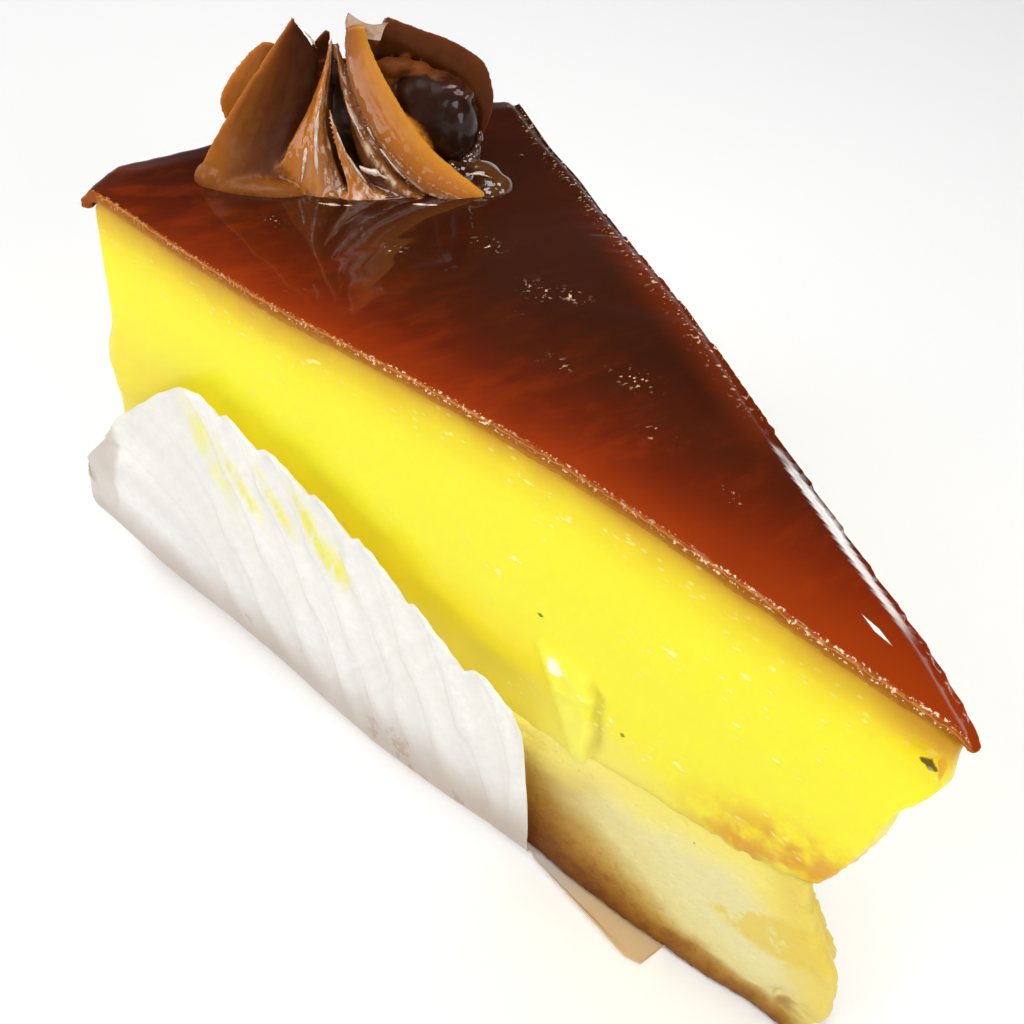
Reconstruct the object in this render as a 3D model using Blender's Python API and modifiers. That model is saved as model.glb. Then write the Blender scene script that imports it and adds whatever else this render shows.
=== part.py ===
"""Slice of flan cake: a sponge base, a custard layer, a caramel glaze and a piped swirl, on a paper liner.

Everything is in metres with +Z up. The slice stands on its liner with the tip along +X, the rim of the
cake along -X and one cut face towards -Y. Each layer is a block that is bent into a wedge about the axis
of the whole round cake, so "reach" below is a distance from that axis.
"""

import math

import bmesh
import bpy
from mathutils import Vector, noise

MM = 0.001

# Driving dimensions
CAKE_RADIUS = 120 * MM
HALF_ANGLE = math.radians(16.25)
SPONGE_TOP = 21 * MM
CUSTARD_TOP = 60.2 * MM
GLAZE_THICKNESS = 1.5 * MM
PAPER_THICKNESS = 0.5 * MM
GAP = 0.3 * MM  # left between pieces that touch

# Plan position of the cake's axis, chosen so that the footprint is centred on the origin
CAKE_AXIS = Vector((63.45 * MM, -0.07 * MM, 0.0))

# The glaze is flat from the rim to here, and domed from here to the tip
FLAT_REACH = 90 * MM
DOME_END = 8 * MM
DOME_HEIGHT = 2.5 * MM
TIP_DROOP = 1.2 * MM
RIM_SKEW = 1.6 * MM  # the near corner of the rim reaches out this much, the far one falls short by it
CORNER_CUT = 3.4 * MM  # broken off the near corner
RIM_ROUNDING = 1.4 * MM
RIM_LIP = 2.2 * MM  # how far the glaze runs down the rim

# Where the piped swirl stands, and which way its broad side faces
SWIRL_REACH = 108 * MM
SWIRL_BROADSIDE = Vector((0.537, 0.844, 0.0))
SWIRL_DEPTHWAYS = Vector((-0.844, 0.537, 0.0))

# Turned-up side of the liner, as distances from the cake's axis along the cut face
PAPER_END = 19 * MM
FAR_PAPER_END = 9 * MM
WALL_START = 39.5 * MM
WALL_SHOULDER = 48 * MM
WALL_PEAK = 101 * MM
WALL_HEIGHT = 41.2 * MM
WALL_SHOULDER_HEIGHT = 23.2 * MM
RIM_WALL_HEIGHT = 13 * MM
NEAR_CORNER = 130 * MM  # the liner stands further off the rim at this corner
FAR_CORNER = 123 * MM
FLUTE_PITCH = 8.7 * MM
FLUTE_DEPTH = 0.9 * MM
FOLD_RADIUS = 1.6 * MM


def clear_scene():
    for obj in list(bpy.data.objects):
        bpy.data.objects.remove(obj, do_unlink=True)


def make_collection(name):
    collection = bpy.data.collections.new(name)
    bpy.context.scene.collection.children.link(collection)
    return collection


def make_material(name, colour, roughness):
    material = bpy.data.materials.new(name)
    material.use_nodes = True
    shader = material.node_tree.nodes["Principled BSDF"]
    shader.inputs["Base Color"].default_value = (*colour, 1.0)
    shader.inputs["Roughness"].default_value = roughness
    shader.inputs["Metallic"].default_value = 0.0
    return material


def add_object(name, bm, collection, material):
    bmesh.ops.recalc_face_normals(bm, faces=bm.faces)
    mesh = bpy.data.meshes.new(name)
    bm.to_mesh(mesh)
    bm.free()
    mesh.materials.append(material)
    mesh.shade_smooth()
    mesh.set_sharp_from_angle(angle=math.radians(40))
    obj = bpy.data.objects.new(name, mesh)
    collection.objects.link(obj)
    return obj


def mix(start, end, share):
    return start + (end - start) * share


def smooth_step(low, high, value):
    share = min(1.0, max(0.0, (value - low) / (high - low)))
    return share * share * (3 - 2 * share)


def lumps(point, size):
    """Soft noise from -1 to 1, with lumps of about this size."""
    return noise.noise(point / size)


# Shared surfaces of the layers


def dome(reach):
    """Height of the top above its flat part. The tip hangs a little."""
    along = min(1.0, max(0.0, (FLAT_REACH - reach) / (FLAT_REACH - DOME_END)))
    crown = DOME_HEIGHT * math.sin(math.pi * along) ** 1.2
    return crown - TIP_DROOP * smooth_step(12 * MM, 1 * MM, reach)


def seam_height(reach):
    """Height of the seam between sponge and custard, which climbs towards the tip."""
    step = 3.4 * MM * smooth_step(50 * MM, 28 * MM, reach)
    tip = 4 * MM * smooth_step(24 * MM, 5 * MM, reach)
    wave = 0.5 * MM * math.sin(reach / (7.5 * MM))
    return SPONGE_TOP + step + tip + wave


def plan(reach, across):
    """A point of the wedge seen from above. Across is -1 on the near cut face and 1 on the far one."""
    angle = across * HALF_ANGLE
    cut_back = RIM_SKEW * across + CORNER_CUT * smooth_step(0.8, 1, -across)
    reach -= cut_back * (reach / CAKE_RADIUS) ** 2
    return Vector((-reach * math.cos(angle), reach * math.sin(angle), 0.0))


def face_normal(across):
    """Outward direction of the cut face on this side of the wedge."""
    return Vector((math.sin(HALF_ANGLE), math.copysign(math.cos(HALF_ANGLE), across), 0.0))


def bulged(point, across, amount):
    """The point moved outwards with its cut face, and less towards the middle of the wedge."""
    return point + face_normal(across) * amount * abs(across) ** 3


def block(cells):
    """A unit cube from 0 to 1, cut into this many cells along X, Y and Z."""
    bm = bmesh.new()
    bmesh.ops.create_cube(bm, size=1.0)
    for axis, count in enumerate(cells):
        along = [
            edge
            for edge in bm.edges
            if abs((edge.verts[0].co - edge.verts[1].co)[axis]) > 0.5
        ]
        bmesh.ops.subdivide_edges(bm, edges=along, cuts=count - 1, use_grid_fill=True)
    bmesh.ops.translate(bm, verts=bm.verts, vec=(0.5, 0.5, 0.5))
    return bm


def layer(name, cells, place, collection, material):
    """A wedge layer: a block whose points place() bends into the wedge."""
    bm = block(cells)
    for vert in bm.verts:
        along, side, up = vert.co
        vert.co = CAKE_AXIS + place(along, 2 * side - 1, up)
    return add_object(name, bm, collection, material)


# Sponge


def sponge_front(height):
    """How far the torn tip of the sponge stands out past the cake's axis at this height."""
    bulge = 2.4 * MM * smooth_step(0, 6 * MM, height)
    cut_back = 8.9 * MM * smooth_step(12 * MM, 28 * MM, height)
    return bulge - cut_back


def sponge_point(along, across, up):
    bottom = PAPER_THICKNESS + GAP
    easing = 1 - (1 - along) ** 1.2
    guess = mix(0, CAKE_RADIUS, easing)
    height = mix(bottom, seam_height(guess), up)
    # the blunt tip, from the near cut face to the far one
    front = sponge_front(height)
    near_y = front * math.tan(HALF_ANGLE) + 0.3 * MM
    far_y = mix(7.5, 2.0, up) * MM
    tip = Vector((front, mix(near_y, far_y, (across + 1) / 2), 0))
    rim = plan(CAKE_RADIUS - 0.5 * MM, across)
    rim.y += 0.6 * MM * (across + 1)
    point = tip.lerp(rim, easing)
    point = bulged(point, across, 0.7 * MM * (1 - 0.6 * up))
    # soft lower edge
    tuck = 1.2 * MM * smooth_step(2.5 * MM, 0, height - bottom)
    point = bulged(point, across, -tuck)
    point.x += tuck * smooth_step(0.93, 1, along)
    crumb = Vector((point.x, point.y, height))
    point = bulged(point, across, 0.3 * MM * lumps(crumb, 5 * MM))
    reach = math.hypot(point.x, point.y)
    point.z = mix(bottom, seam_height(reach), up)
    return point


# Custard


def custard_front(up):
    """Reach of the blunt tip of the custard, which is broken back towards the sponge."""
    return (2.6 + 5.4 * (1 - up) ** 1.4) * MM


def custard_side(height):
    """How far the cut face stands out at this height: a soft belly over a tucked-in foot."""
    belly = 0.45 * MM * math.sin(math.pi * smooth_step(34 * MM, CUSTARD_TOP, height))
    foot = 1.3 * MM * smooth_step(36 * MM, 25 * MM, height)
    return belly - foot


def round_rim(reach, height, top):
    """Rounds the upper edge of the rim, by bending a square corner into a quarter of a circle."""
    over_r = (reach - (CAKE_RADIUS - RIM_ROUNDING)) / RIM_ROUNDING
    over_z = (height - (top - RIM_ROUNDING)) / RIM_ROUNDING
    if over_r <= 0 or over_z <= 0:
        return reach, height
    round_r = over_r * math.sqrt(1 - over_z * over_z / 2)
    round_z = over_z * math.sqrt(1 - over_r * over_r / 2)
    return (
        CAKE_RADIUS - RIM_ROUNDING + round_r * RIM_ROUNDING,
        top - RIM_ROUNDING + round_z * RIM_ROUNDING,
    )


def custard_point(along, across, up):
    easing = 1 - (1 - along) ** 1.3
    share = 1 - (1 - up) ** 1.5
    reach = mix(custard_front(share), CAKE_RADIUS, easing)
    top = CUSTARD_TOP + dome(reach)
    height = mix(seam_height(reach) + GAP, top, share)
    reach, height = round_rim(reach, height, top)
    point = plan(reach, across)
    point = bulged(point, across, custard_side(height))
    skin = Vector((point.x, point.y, height))
    ripple = 0.25 * MM * lumps(skin, 12 * MM) * smooth_step(0, 6 * MM, top - height)
    point = bulged(point, across, ripple)
    point.z = height
    if up == 0:
        point.z = seam_height(math.hypot(point.x, point.y)) + GAP
    return point


# Caramel glaze


def glaze_profile(distance):
    """Reach and height of the glaze's underside at this distance from its tip along the top and down the rim."""
    rounding = RIM_ROUNDING + GAP
    flat = CAKE_RADIUS - RIM_ROUNDING
    corner = math.pi / 2 * rounding
    if distance < flat:
        return distance, CUSTARD_TOP + GAP + dome(distance)
    top = CUSTARD_TOP + GAP - rounding
    if distance < flat + corner:
        angle = (distance - flat) / rounding
        return flat + rounding * math.sin(angle), top + rounding * math.cos(angle)
    return flat + rounding, top - (distance - flat - corner)


def make_glaze(collection, material, cells):
    tip = 1.2 * MM
    corner = math.pi / 2 * (RIM_ROUNDING + GAP)
    length = CAKE_RADIUS - RIM_ROUNDING + corner + RIM_LIP
    bm = bmesh.new()
    bmesh.ops.create_grid(bm, x_segments=cells[0], y_segments=cells[1], size=0.5)
    for vert in bm.verts:
        along = vert.co.x + 0.5
        across = 2 * vert.co.y
        distance = mix(tip, length, 1 - (1 - along) ** 1.45)
        drip = 0.8 * MM * lumps(Vector((across, 0.3, 0.7)), 0.5)
        distance += drip * smooth_step(0.93, 1, along)
        reach, height = glaze_profile(distance)
        point = plan(reach, across)
        point = bulged(point, across, 0.35 * MM)
        point.z = height
        vert.co = CAKE_AXIS + point
    glaze = add_object("caramel_glaze", bm, collection, material)
    if glaze.data.polygons[0].normal.z < 0:
        glaze.data.flip_normals()
    shell = glaze.modifiers.new("thickness", "SOLIDIFY")
    shell.thickness = GLAZE_THICKNESS
    shell.offset = 1.0
    shell.use_even_offset = True
    return glaze


# Piped swirl, in millimetres: broadside, depthways and height above the glaze

FOLDS = {
    # name: foot, belly and peak of the ridge, root in plan, root thickness, ridge thickness
    "left_fold": ((-19.2, -7.4, 0.2), (-16.0, -6.2, 8.8), (-7.7, 0.0, 19.4), (-3.5, 2.8), 9.5, 1.6),
    "back_left_fold": ((-15.5, 3.2, 0.2), (-21.5, 2.2, 8.6), (-11.2, 3.0, 16.4), (-3.0, 4.0), 8.5, 2.0),
    "front_fold": ((-2.6, -7.6, 0.2), (-6.0, -5.8, 6.6), (-3.9, -0.6, 17.2), (-3.4, 3.0), 14.0, 1.4),
    "middle_fold": ((9.2, -6.6, 0.2), (1.6, -5.2, 9.2), (-2.0, -0.2, 17.6), (1.5, 2.5), 7.0, 1.4),
    "long_fold": ((17.8, -4.4, 0.2), (6.9, -4.1, 9.4), (-1.8, 0.6, 18.9), (4.5, 3.0), 5.6, 3.4),
    "hood": ((16.6, 4.8, 1.6), (20.4, 6.0, 16.8), (2.8, 5.0, 18.2), (4.0, 6.4), 6.5, 3.4),
    "back_fold": ((-8.6, 9.4, 0.2), (-9.0, 9.0, 8.0), (-4.4, 4.6, 16.8), (-2.0, 3.0), 8.5, 2.0),
    "back_middle_fold": ((2.4, 10.2, 0.2), (3.0, 10.2, 8.0), (0.2, 5.4, 17.2), (0.5, 3.0), 8.5, 2.0),
    "back_right_fold": ((12.6, 8.6, 0.2), (13.4, 9.0, 8.0), (6.0, 5.8, 16.6), (4.0, 3.0), 8.5, 2.0),
}
LOBES = {
    # name: centre and half sizes
    "heart": ((-0.8, 3.0, 2.6), (12.0, 6.2, 11.6)),
    "foot": ((-4.0, -0.2, 0.6), (16.4, 8.4, 2.6)),
    "round_lobe": ((9.0, 1.8, 7.2), (7.0, 5.8, 7.6)),
    "drip": ((16.8, -1.0, 0.4), (3.6, 3.4, 2.4)),
}


def swirl_place(point):
    """A point of the swirl's own frame, in millimetres, set on the cake."""
    base = Vector((-SWIRL_REACH, 0.5 * MM, CUSTARD_TOP + GAP + GLAZE_THICKNESS + GAP))
    across, depth, up = (value * MM for value in point)
    return CAKE_AXIS + base + SWIRL_BROADSIDE * across + SWIRL_DEPTHWAYS * depth + Vector((0, 0, up))


def add_fold(name, shape, collection, material):
    """A piped fold: level sections from foot to peak, each narrow at the ridge and wide at the root."""
    foot, belly, peak = (Vector(point) for point in shape[:3])
    root, root_width, ridge_width = shape[3:]
    rings = 10
    bm = bmesh.new()
    loops = []
    for ring in range(rings):
        share = ring / (rings - 1)
        ridge = foot.lerp(belly, share).lerp(belly.lerp(peak, share), share)
        inwards = (Vector((root[0], root[1], ridge.z)) - ridge) * (1 - 0.75 * share ** 3)
        side = Vector((-inwards.y, inwards.x, 0)).normalized()
        wide = root_width / 2 * (1 - 0.75 * share)
        narrow = ridge_width / 2 * (1 - 0.4 * share)
        waist = mix(narrow, wide, 0.35)
        outline = ((0, narrow), (0.4, waist), (1, wide), (1, -wide), (0.4, -waist), (0, -narrow))
        points = [ridge + inwards * deep + side * half for deep, half in outline]
        loops.append([bm.verts.new(swirl_place(point)) for point in points])
    count = len(loops[0])
    for lower, upper in zip(loops, loops[1:]):
        for spot in range(count):
            after = (spot + 1) % count
            bm.faces.new((lower[spot], lower[after], upper[after], upper[spot]))
    bm.faces.new(reversed(loops[0]))
    bm.faces.new(loops[-1])
    return add_object(name, bm, collection, material)


def add_lobe(name, shape, collection, material):
    centre, half_sizes = shape
    bm = bmesh.new()
    bmesh.ops.create_uvsphere(bm, u_segments=18, v_segments=10, radius=1.0)
    for vert in bm.verts:
        local = [middle + half * value for middle, half, value in zip(centre, half_sizes, vert.co)]
        vert.co = swirl_place(local)
    return add_object(name, bm, collection, material)


def make_swirl(collection, material):
    """All folds and lobes fused into one body, and cut flat where it stands on the glaze."""
    pieces = make_collection("swirl pieces")
    for name, shape in FOLDS.items():
        add_fold(name, shape, pieces, material)
    for name, shape in LOBES.items():
        if name != "heart":
            add_lobe(name, shape, pieces, material)
    swirl = add_lobe("caramel_swirl", LOBES["heart"], collection, material)
    union = swirl.modifiers.new("fuse the folds", "BOOLEAN")
    union.operation = "UNION"
    union.operand_type = "COLLECTION"
    union.collection = pieces
    union.solver = "EXACT"
    union.use_self = True
    bpy.context.view_layer.update()
    graph = bpy.context.evaluated_depsgraph_get()
    fused = bpy.data.meshes.new_from_object(swirl.evaluated_get(graph))
    swirl.modifiers.clear()
    swirl.data = fused
    for obj in list(pieces.objects):
        bpy.data.objects.remove(obj, do_unlink=True)
    bpy.data.collections.remove(pieces)
    bm = bmesh.new()
    bm.from_mesh(fused)
    floor = swirl_place((0, 0, 0))
    everything = bm.verts[:] + bm.edges[:] + bm.faces[:]
    cut = bmesh.ops.bisect_plane(bm, geom=everything, plane_co=floor, plane_no=(0, 0, 1), clear_inner=True)
    rim = [item for item in cut["geom_cut"] if isinstance(item, bmesh.types.BMEdge)]
    bmesh.ops.contextual_create(bm, geom=rim)
    bmesh.ops.remove_doubles(bm, verts=bm.verts, dist=0.05 * MM)
    bm.to_mesh(fused)
    bm.free()
    fused.shade_smooth()
    fused.set_sharp_from_angle(angle=math.radians(40))
    return swirl


# Paper liner


def wall_height(reach):
    """Height of the turned-up paper along the near cut face."""
    if reach < WALL_SHOULDER:
        return WALL_SHOULDER_HEIGHT * smooth_step(WALL_START - 1 * MM, WALL_SHOULDER, reach)
    if reach < WALL_PEAK:
        return mix(WALL_SHOULDER_HEIGHT, WALL_HEIGHT, smooth_step(WALL_SHOULDER - 10 * MM, WALL_PEAK, reach))
    return WALL_HEIGHT - 27 * MM * ((reach - WALL_PEAK) / (26 * MM)) ** 1.35


def liner_outline():
    """Stations round the fold of the liner: place, outward direction, flap length and fold angle."""
    stations = []
    lying = math.radians(6)
    standing = math.radians(91)
    near = Vector((-math.cos(HALF_ANGLE), -math.sin(HALF_ANGLE), 0))
    far = Vector((-math.cos(HALF_ANGLE), math.sin(HALF_ANGLE), 0))
    near_out = face_normal(-1)
    far_out = face_normal(1)
    # along the near cut face, from the tip to the rim
    near_margin = 0.3 * MM
    near_steps = 50
    for turn in range(near_steps):
        reach = mix(PAPER_END, NEAR_CORNER - 5 * MM, turn / (near_steps - 1))
        stand = smooth_step(WALL_START - 2 * MM, WALL_START + 4 * MM, reach)
        edge = mix(5.2 * MM, 1.6 * MM, smooth_step(PAPER_END, WALL_START, reach))
        length = max(edge, wall_height(reach))
        place = near * reach + near_out * near_margin
        stations.append((place, near_out, length, mix(lying, standing, stand)))
    # round the rim, from the near corner to the far one
    corner = 5 * MM
    turns = 5
    for turn in range(1, turns):
        share = turn / turns
        outward = near_out.lerp(near, share).normalized()
        centre = near * (NEAR_CORNER - corner) - near_out * (corner - near_margin)
        stations.append((centre + outward * corner, outward, mix(12, 9, share) * MM, standing))
    rim_steps = 26
    for turn in range(rim_steps + 1):
        share = turn / rim_steps
        rim_reach = mix(NEAR_CORNER, FAR_CORNER, share)
        inset = corner / rim_reach
        angle = mix(-HALF_ANGLE + inset, HALF_ANGLE - inset, share)
        outward = Vector((-math.cos(angle), math.sin(angle), 0))
        height = mix(9 * MM, RIM_WALL_HEIGHT, smooth_step(0.1, 0.6, share))
        stations.append((outward * rim_reach, outward, height, standing))
    far_margin = 2.4 * MM
    for turn in range(1, turns):
        share = turn / turns
        outward = far.lerp(far_out, share).normalized()
        centre = far * (FAR_CORNER - corner) - far_out * (corner - far_margin)
        stations.append((centre + outward * corner, outward, mix(13, 10, share) * MM, standing))
    # back along the far cut face, where the wall sinks into a flat margin
    far_steps = 28
    for turn in range(far_steps + 1):
        share = turn / far_steps
        reach = mix(FAR_CORNER - 5 * MM, FAR_PAPER_END, share)
        sink = smooth_step(0.25, 0.75, share)
        place = far * reach + far_out * mix(far_margin, 7.5 * MM, share)
        stations.append((place, far_out, mix(10, 3.4, sink) * MM, mix(standing, lying, sink)))
    # across the open end, flat under the tip
    start = stations[-1][0]
    end = stations[0][0]
    outward = Vector((end.y - start.y, start.x - end.x, 0)).normalized()
    outward = outward if outward.x > 0 else -outward
    end_steps = 7
    for turn in range(1, end_steps):
        stations.append((start.lerp(end, turn / end_steps), outward, 1 * MM, 0.0))
    return stations


def flap_point(distance, fold_angle):
    """How far out and up a flap reaches at this distance past its fold."""
    bend = FOLD_RADIUS * fold_angle
    if distance <= bend:
        angle = distance / FOLD_RADIUS
        return FOLD_RADIUS * math.sin(angle), FOLD_RADIUS * (1 - math.cos(angle))
    rest = distance - bend
    out = FOLD_RADIUS * math.sin(fold_angle) + rest * math.cos(fold_angle)
    up = FOLD_RADIUS * (1 - math.cos(fold_angle)) + rest * math.sin(fold_angle)
    return out, up


def make_liner(collection, material):
    """A sheet under the slice whose border is folded up in flutes, given its thickness at the end."""
    stations = liner_outline()
    shares = (0.0, 0.04, 0.1, 0.4, 0.7, 1.0)
    bm = bmesh.new()
    rings = [[] for _ in shares]
    run = 0.0
    before = stations[0][0]
    for place, outward, length, fold_angle in stations:
        run += (place - before).length
        before = place
        standing = math.sin(fold_angle) ** 4
        scallop = abs(math.sin(math.pi * run / FLUTE_PITCH))
        length -= 1.6 * MM * (1 - scallop) ** 2 * standing * smooth_step(4 * MM, 12 * MM, length)
        for ring, share in zip(rings, shares):
            out, up = flap_point(length * share, fold_angle)
            lean = 0.35 * up
            flute = 0.5 - 0.5 * math.cos(2 * math.pi * (run + lean) / FLUTE_PITCH)
            out += FLUTE_DEPTH * flute * standing * smooth_step(3 * MM, 14 * MM, up)
            point = place + outward * out
            point.z = PAPER_THICKNESS / 2 + up
            ring.append(bm.verts.new(CAKE_AXIS + point))
    bm.faces.new(rings[0])
    count = len(stations)
    for lower, upper in zip(rings, rings[1:]):
        for spot in range(count):
            after = (spot + 1) % count
            bm.faces.new((lower[spot], lower[after], upper[after], upper[spot]))
    liner = add_object("paper_liner", bm, collection, material)
    sheet = liner.modifiers.new("thickness", "SOLIDIFY")
    sheet.thickness = PAPER_THICKNESS
    sheet.offset = 0.0
    return liner


def main():
    clear_scene()
    slice_parts = make_collection("flan cake slice")
    sponge = make_material("sponge", (0.78, 0.62, 0.24), 0.85)
    custard = make_material("custard", (0.95, 0.74, 0.04), 0.35)
    caramel = make_material("caramel", (0.13, 0.02, 0.004), 0.12)
    swirl = make_material("milk caramel", (0.36, 0.15, 0.03), 0.25)
    paper = make_material("paper", (0.86, 0.84, 0.81), 0.7)
    layer("sponge_base", (26, 10, 6), sponge_point, slice_parts, sponge)
    layer("custard_layer", (26, 10, 9), custard_point, slice_parts, custard)
    make_glaze(slice_parts, caramel, (32, 10))
    make_swirl(slice_parts, swirl)
    make_liner(slice_parts, paper)


main()
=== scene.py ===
import math

import bpy
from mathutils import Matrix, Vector, kdtree, noise


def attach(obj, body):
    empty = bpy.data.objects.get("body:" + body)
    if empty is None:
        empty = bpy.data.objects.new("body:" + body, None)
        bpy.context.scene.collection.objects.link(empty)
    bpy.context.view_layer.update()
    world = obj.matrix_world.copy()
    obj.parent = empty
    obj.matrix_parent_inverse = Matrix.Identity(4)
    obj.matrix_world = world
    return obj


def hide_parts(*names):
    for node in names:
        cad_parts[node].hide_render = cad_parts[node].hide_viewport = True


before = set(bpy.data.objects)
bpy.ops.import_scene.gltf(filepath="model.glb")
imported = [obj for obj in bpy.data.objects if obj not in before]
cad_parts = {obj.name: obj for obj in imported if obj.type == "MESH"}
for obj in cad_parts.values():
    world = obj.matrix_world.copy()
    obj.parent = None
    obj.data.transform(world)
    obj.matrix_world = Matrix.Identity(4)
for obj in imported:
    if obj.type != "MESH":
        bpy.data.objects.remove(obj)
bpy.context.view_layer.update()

mm = 0.001
cakeAxis = Vector((63.45, -0.07, 0.0)) * mm  # axis of the whole round cake, at the slice's tip
halfAngle = math.radians(16.25)
# from the tip to the rim, and outwards, on the near cut face and then on the far one
alongFace = Vector((-math.cos(halfAngle), -math.sin(halfAngle), 0.0))
outOfFace = Vector((math.sin(halfAngle), -math.cos(halfAngle), 0.0))
alongFar = Vector((-math.cos(halfAngle), math.sin(halfAngle), 0.0))
outOfFar = Vector((math.sin(halfAngle), math.cos(halfAngle), 0.0))
# heights of the layers in mm, as the solids have them
glazeTop = 62.0
custardTop = 60.2
dome = {"height": 2.5, "end": 90, "length": 82, "tipDrop": 1.2}
seam = {"height": 21, "step": 3.4, "tip": 4, "wave": 0.5, "waveLength": 7.5}
joinDistance = 0.01 * mm
farAway = 200.0  # stands for the distance along the near face on every other side


# small helpers

def mix(start, end, share):
    return start + (end - start) * share


def ease(low, high, value):
    share = min(1.0, max(0.0, (value - low) / (high - low)))
    return share * share * (3 - 2 * share)


def bump(value, centre, width):
    return math.exp(-(((value - centre) / width) ** 2))


def lump(point, size, seed=0.0):
    # soft noise from -1 to 1, for a point in millimetres
    return noise.noise(Vector((point[0] / size + seed, point[1] / size - seed, point[2] / size + 2 * seed)))


def faceSpot(point):
    # distance from the tip along the near cut face, distance out of it, and height, in millimetres
    local = (point - cakeAxis) / mm
    return local.dot(alongFace), local.dot(outOfFace), local.z


def domeAt(reach):
    # height of the glaze above its flat part
    along = min(1.0, max(0.0, (dome["end"] - reach) / dome["length"]))
    crown = dome["height"] * math.sin(math.pi * along) ** 1.2
    return crown - dome["tipDrop"] * ease(12, 1, reach)


def seamAt(reach):
    # height of the seam between sponge and custard
    step = seam["step"] * ease(50, 28, reach)
    tip = seam["tip"] * ease(24, 5, reach)
    return seam["height"] + step + tip + seam["wave"] * math.sin(reach / seam["waveLength"])


def deselectAll():
    if bpy.context.object and bpy.context.object.mode != "OBJECT":
        bpy.ops.object.mode_set(mode="OBJECT")
    bpy.ops.object.select_all(action="DESELECT")


def pick(piece):
    deselectAll()
    piece.select_set(True)
    bpy.context.view_layer.objects.active = piece


def startEdit():
    # edit the active piece, with all of it selected
    bpy.ops.object.mode_set(mode="EDIT")
    bpy.ops.mesh.select_all(action="SELECT")


def applyAll(piece):
    pick(piece)
    for modifier in list(piece.modifiers):
        bpy.ops.object.modifier_apply(modifier=modifier.name)


def copyOfNode(node, name):
    # a copy of a CAD node's mesh, with its loose triangles merged
    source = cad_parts[node]
    piece = bpy.data.objects.new(name, source.data.copy())
    piece.data.name = name
    bpy.context.scene.collection.objects.link(piece)
    pick(piece)
    startEdit()
    bpy.ops.mesh.remove_doubles(threshold=joinDistance)
    bpy.ops.object.mode_set(mode="OBJECT")
    piece.data.materials.clear()
    return piece


def remesh(piece, voxel, smoothing=0):
    modifier = piece.modifiers.new("voxels", "REMESH")
    modifier.mode = "VOXEL"
    modifier.voxel_size = voxel * mm
    modifier.use_smooth_shade = True
    if smoothing:
        soften = piece.modifiers.new("soften", "SMOOTH")
        soften.factor = 0.5
        soften.iterations = smoothing
    applyAll(piece)


def withNormals(piece):
    # every vertex with its normal, as it is before any vertex moves
    return zip(piece.data.vertices, [vert.normal.copy() for vert in piece.data.vertices])


def paint(piece, marks):
    # lists of one number for each vertex, which a material reads by name
    for name, values in marks.items():
        layer = piece.data.attributes.new(name, "FLOAT", "POINT")
        layer.data.foreach_set("value", values)


def finishPiece(piece, material, node):
    piece.data.materials.clear()
    piece.data.materials.append(material)
    pick(piece)
    bpy.ops.object.shade_smooth()
    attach(piece, "root")
    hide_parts(node)
    print("made", piece.name, len(piece.data.polygons), "faces")
    return piece


# material helpers

def colour(red, green, blue):
    # screen colour, 0 to 255, as Blender's linear colour
    shares = (red / 255, green / 255, blue / 255)
    return tuple(((c + 0.055) / 1.055) ** 2.4 if c > 0.04 else c / 12.92 for c in shares) + (1.0,)


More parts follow.
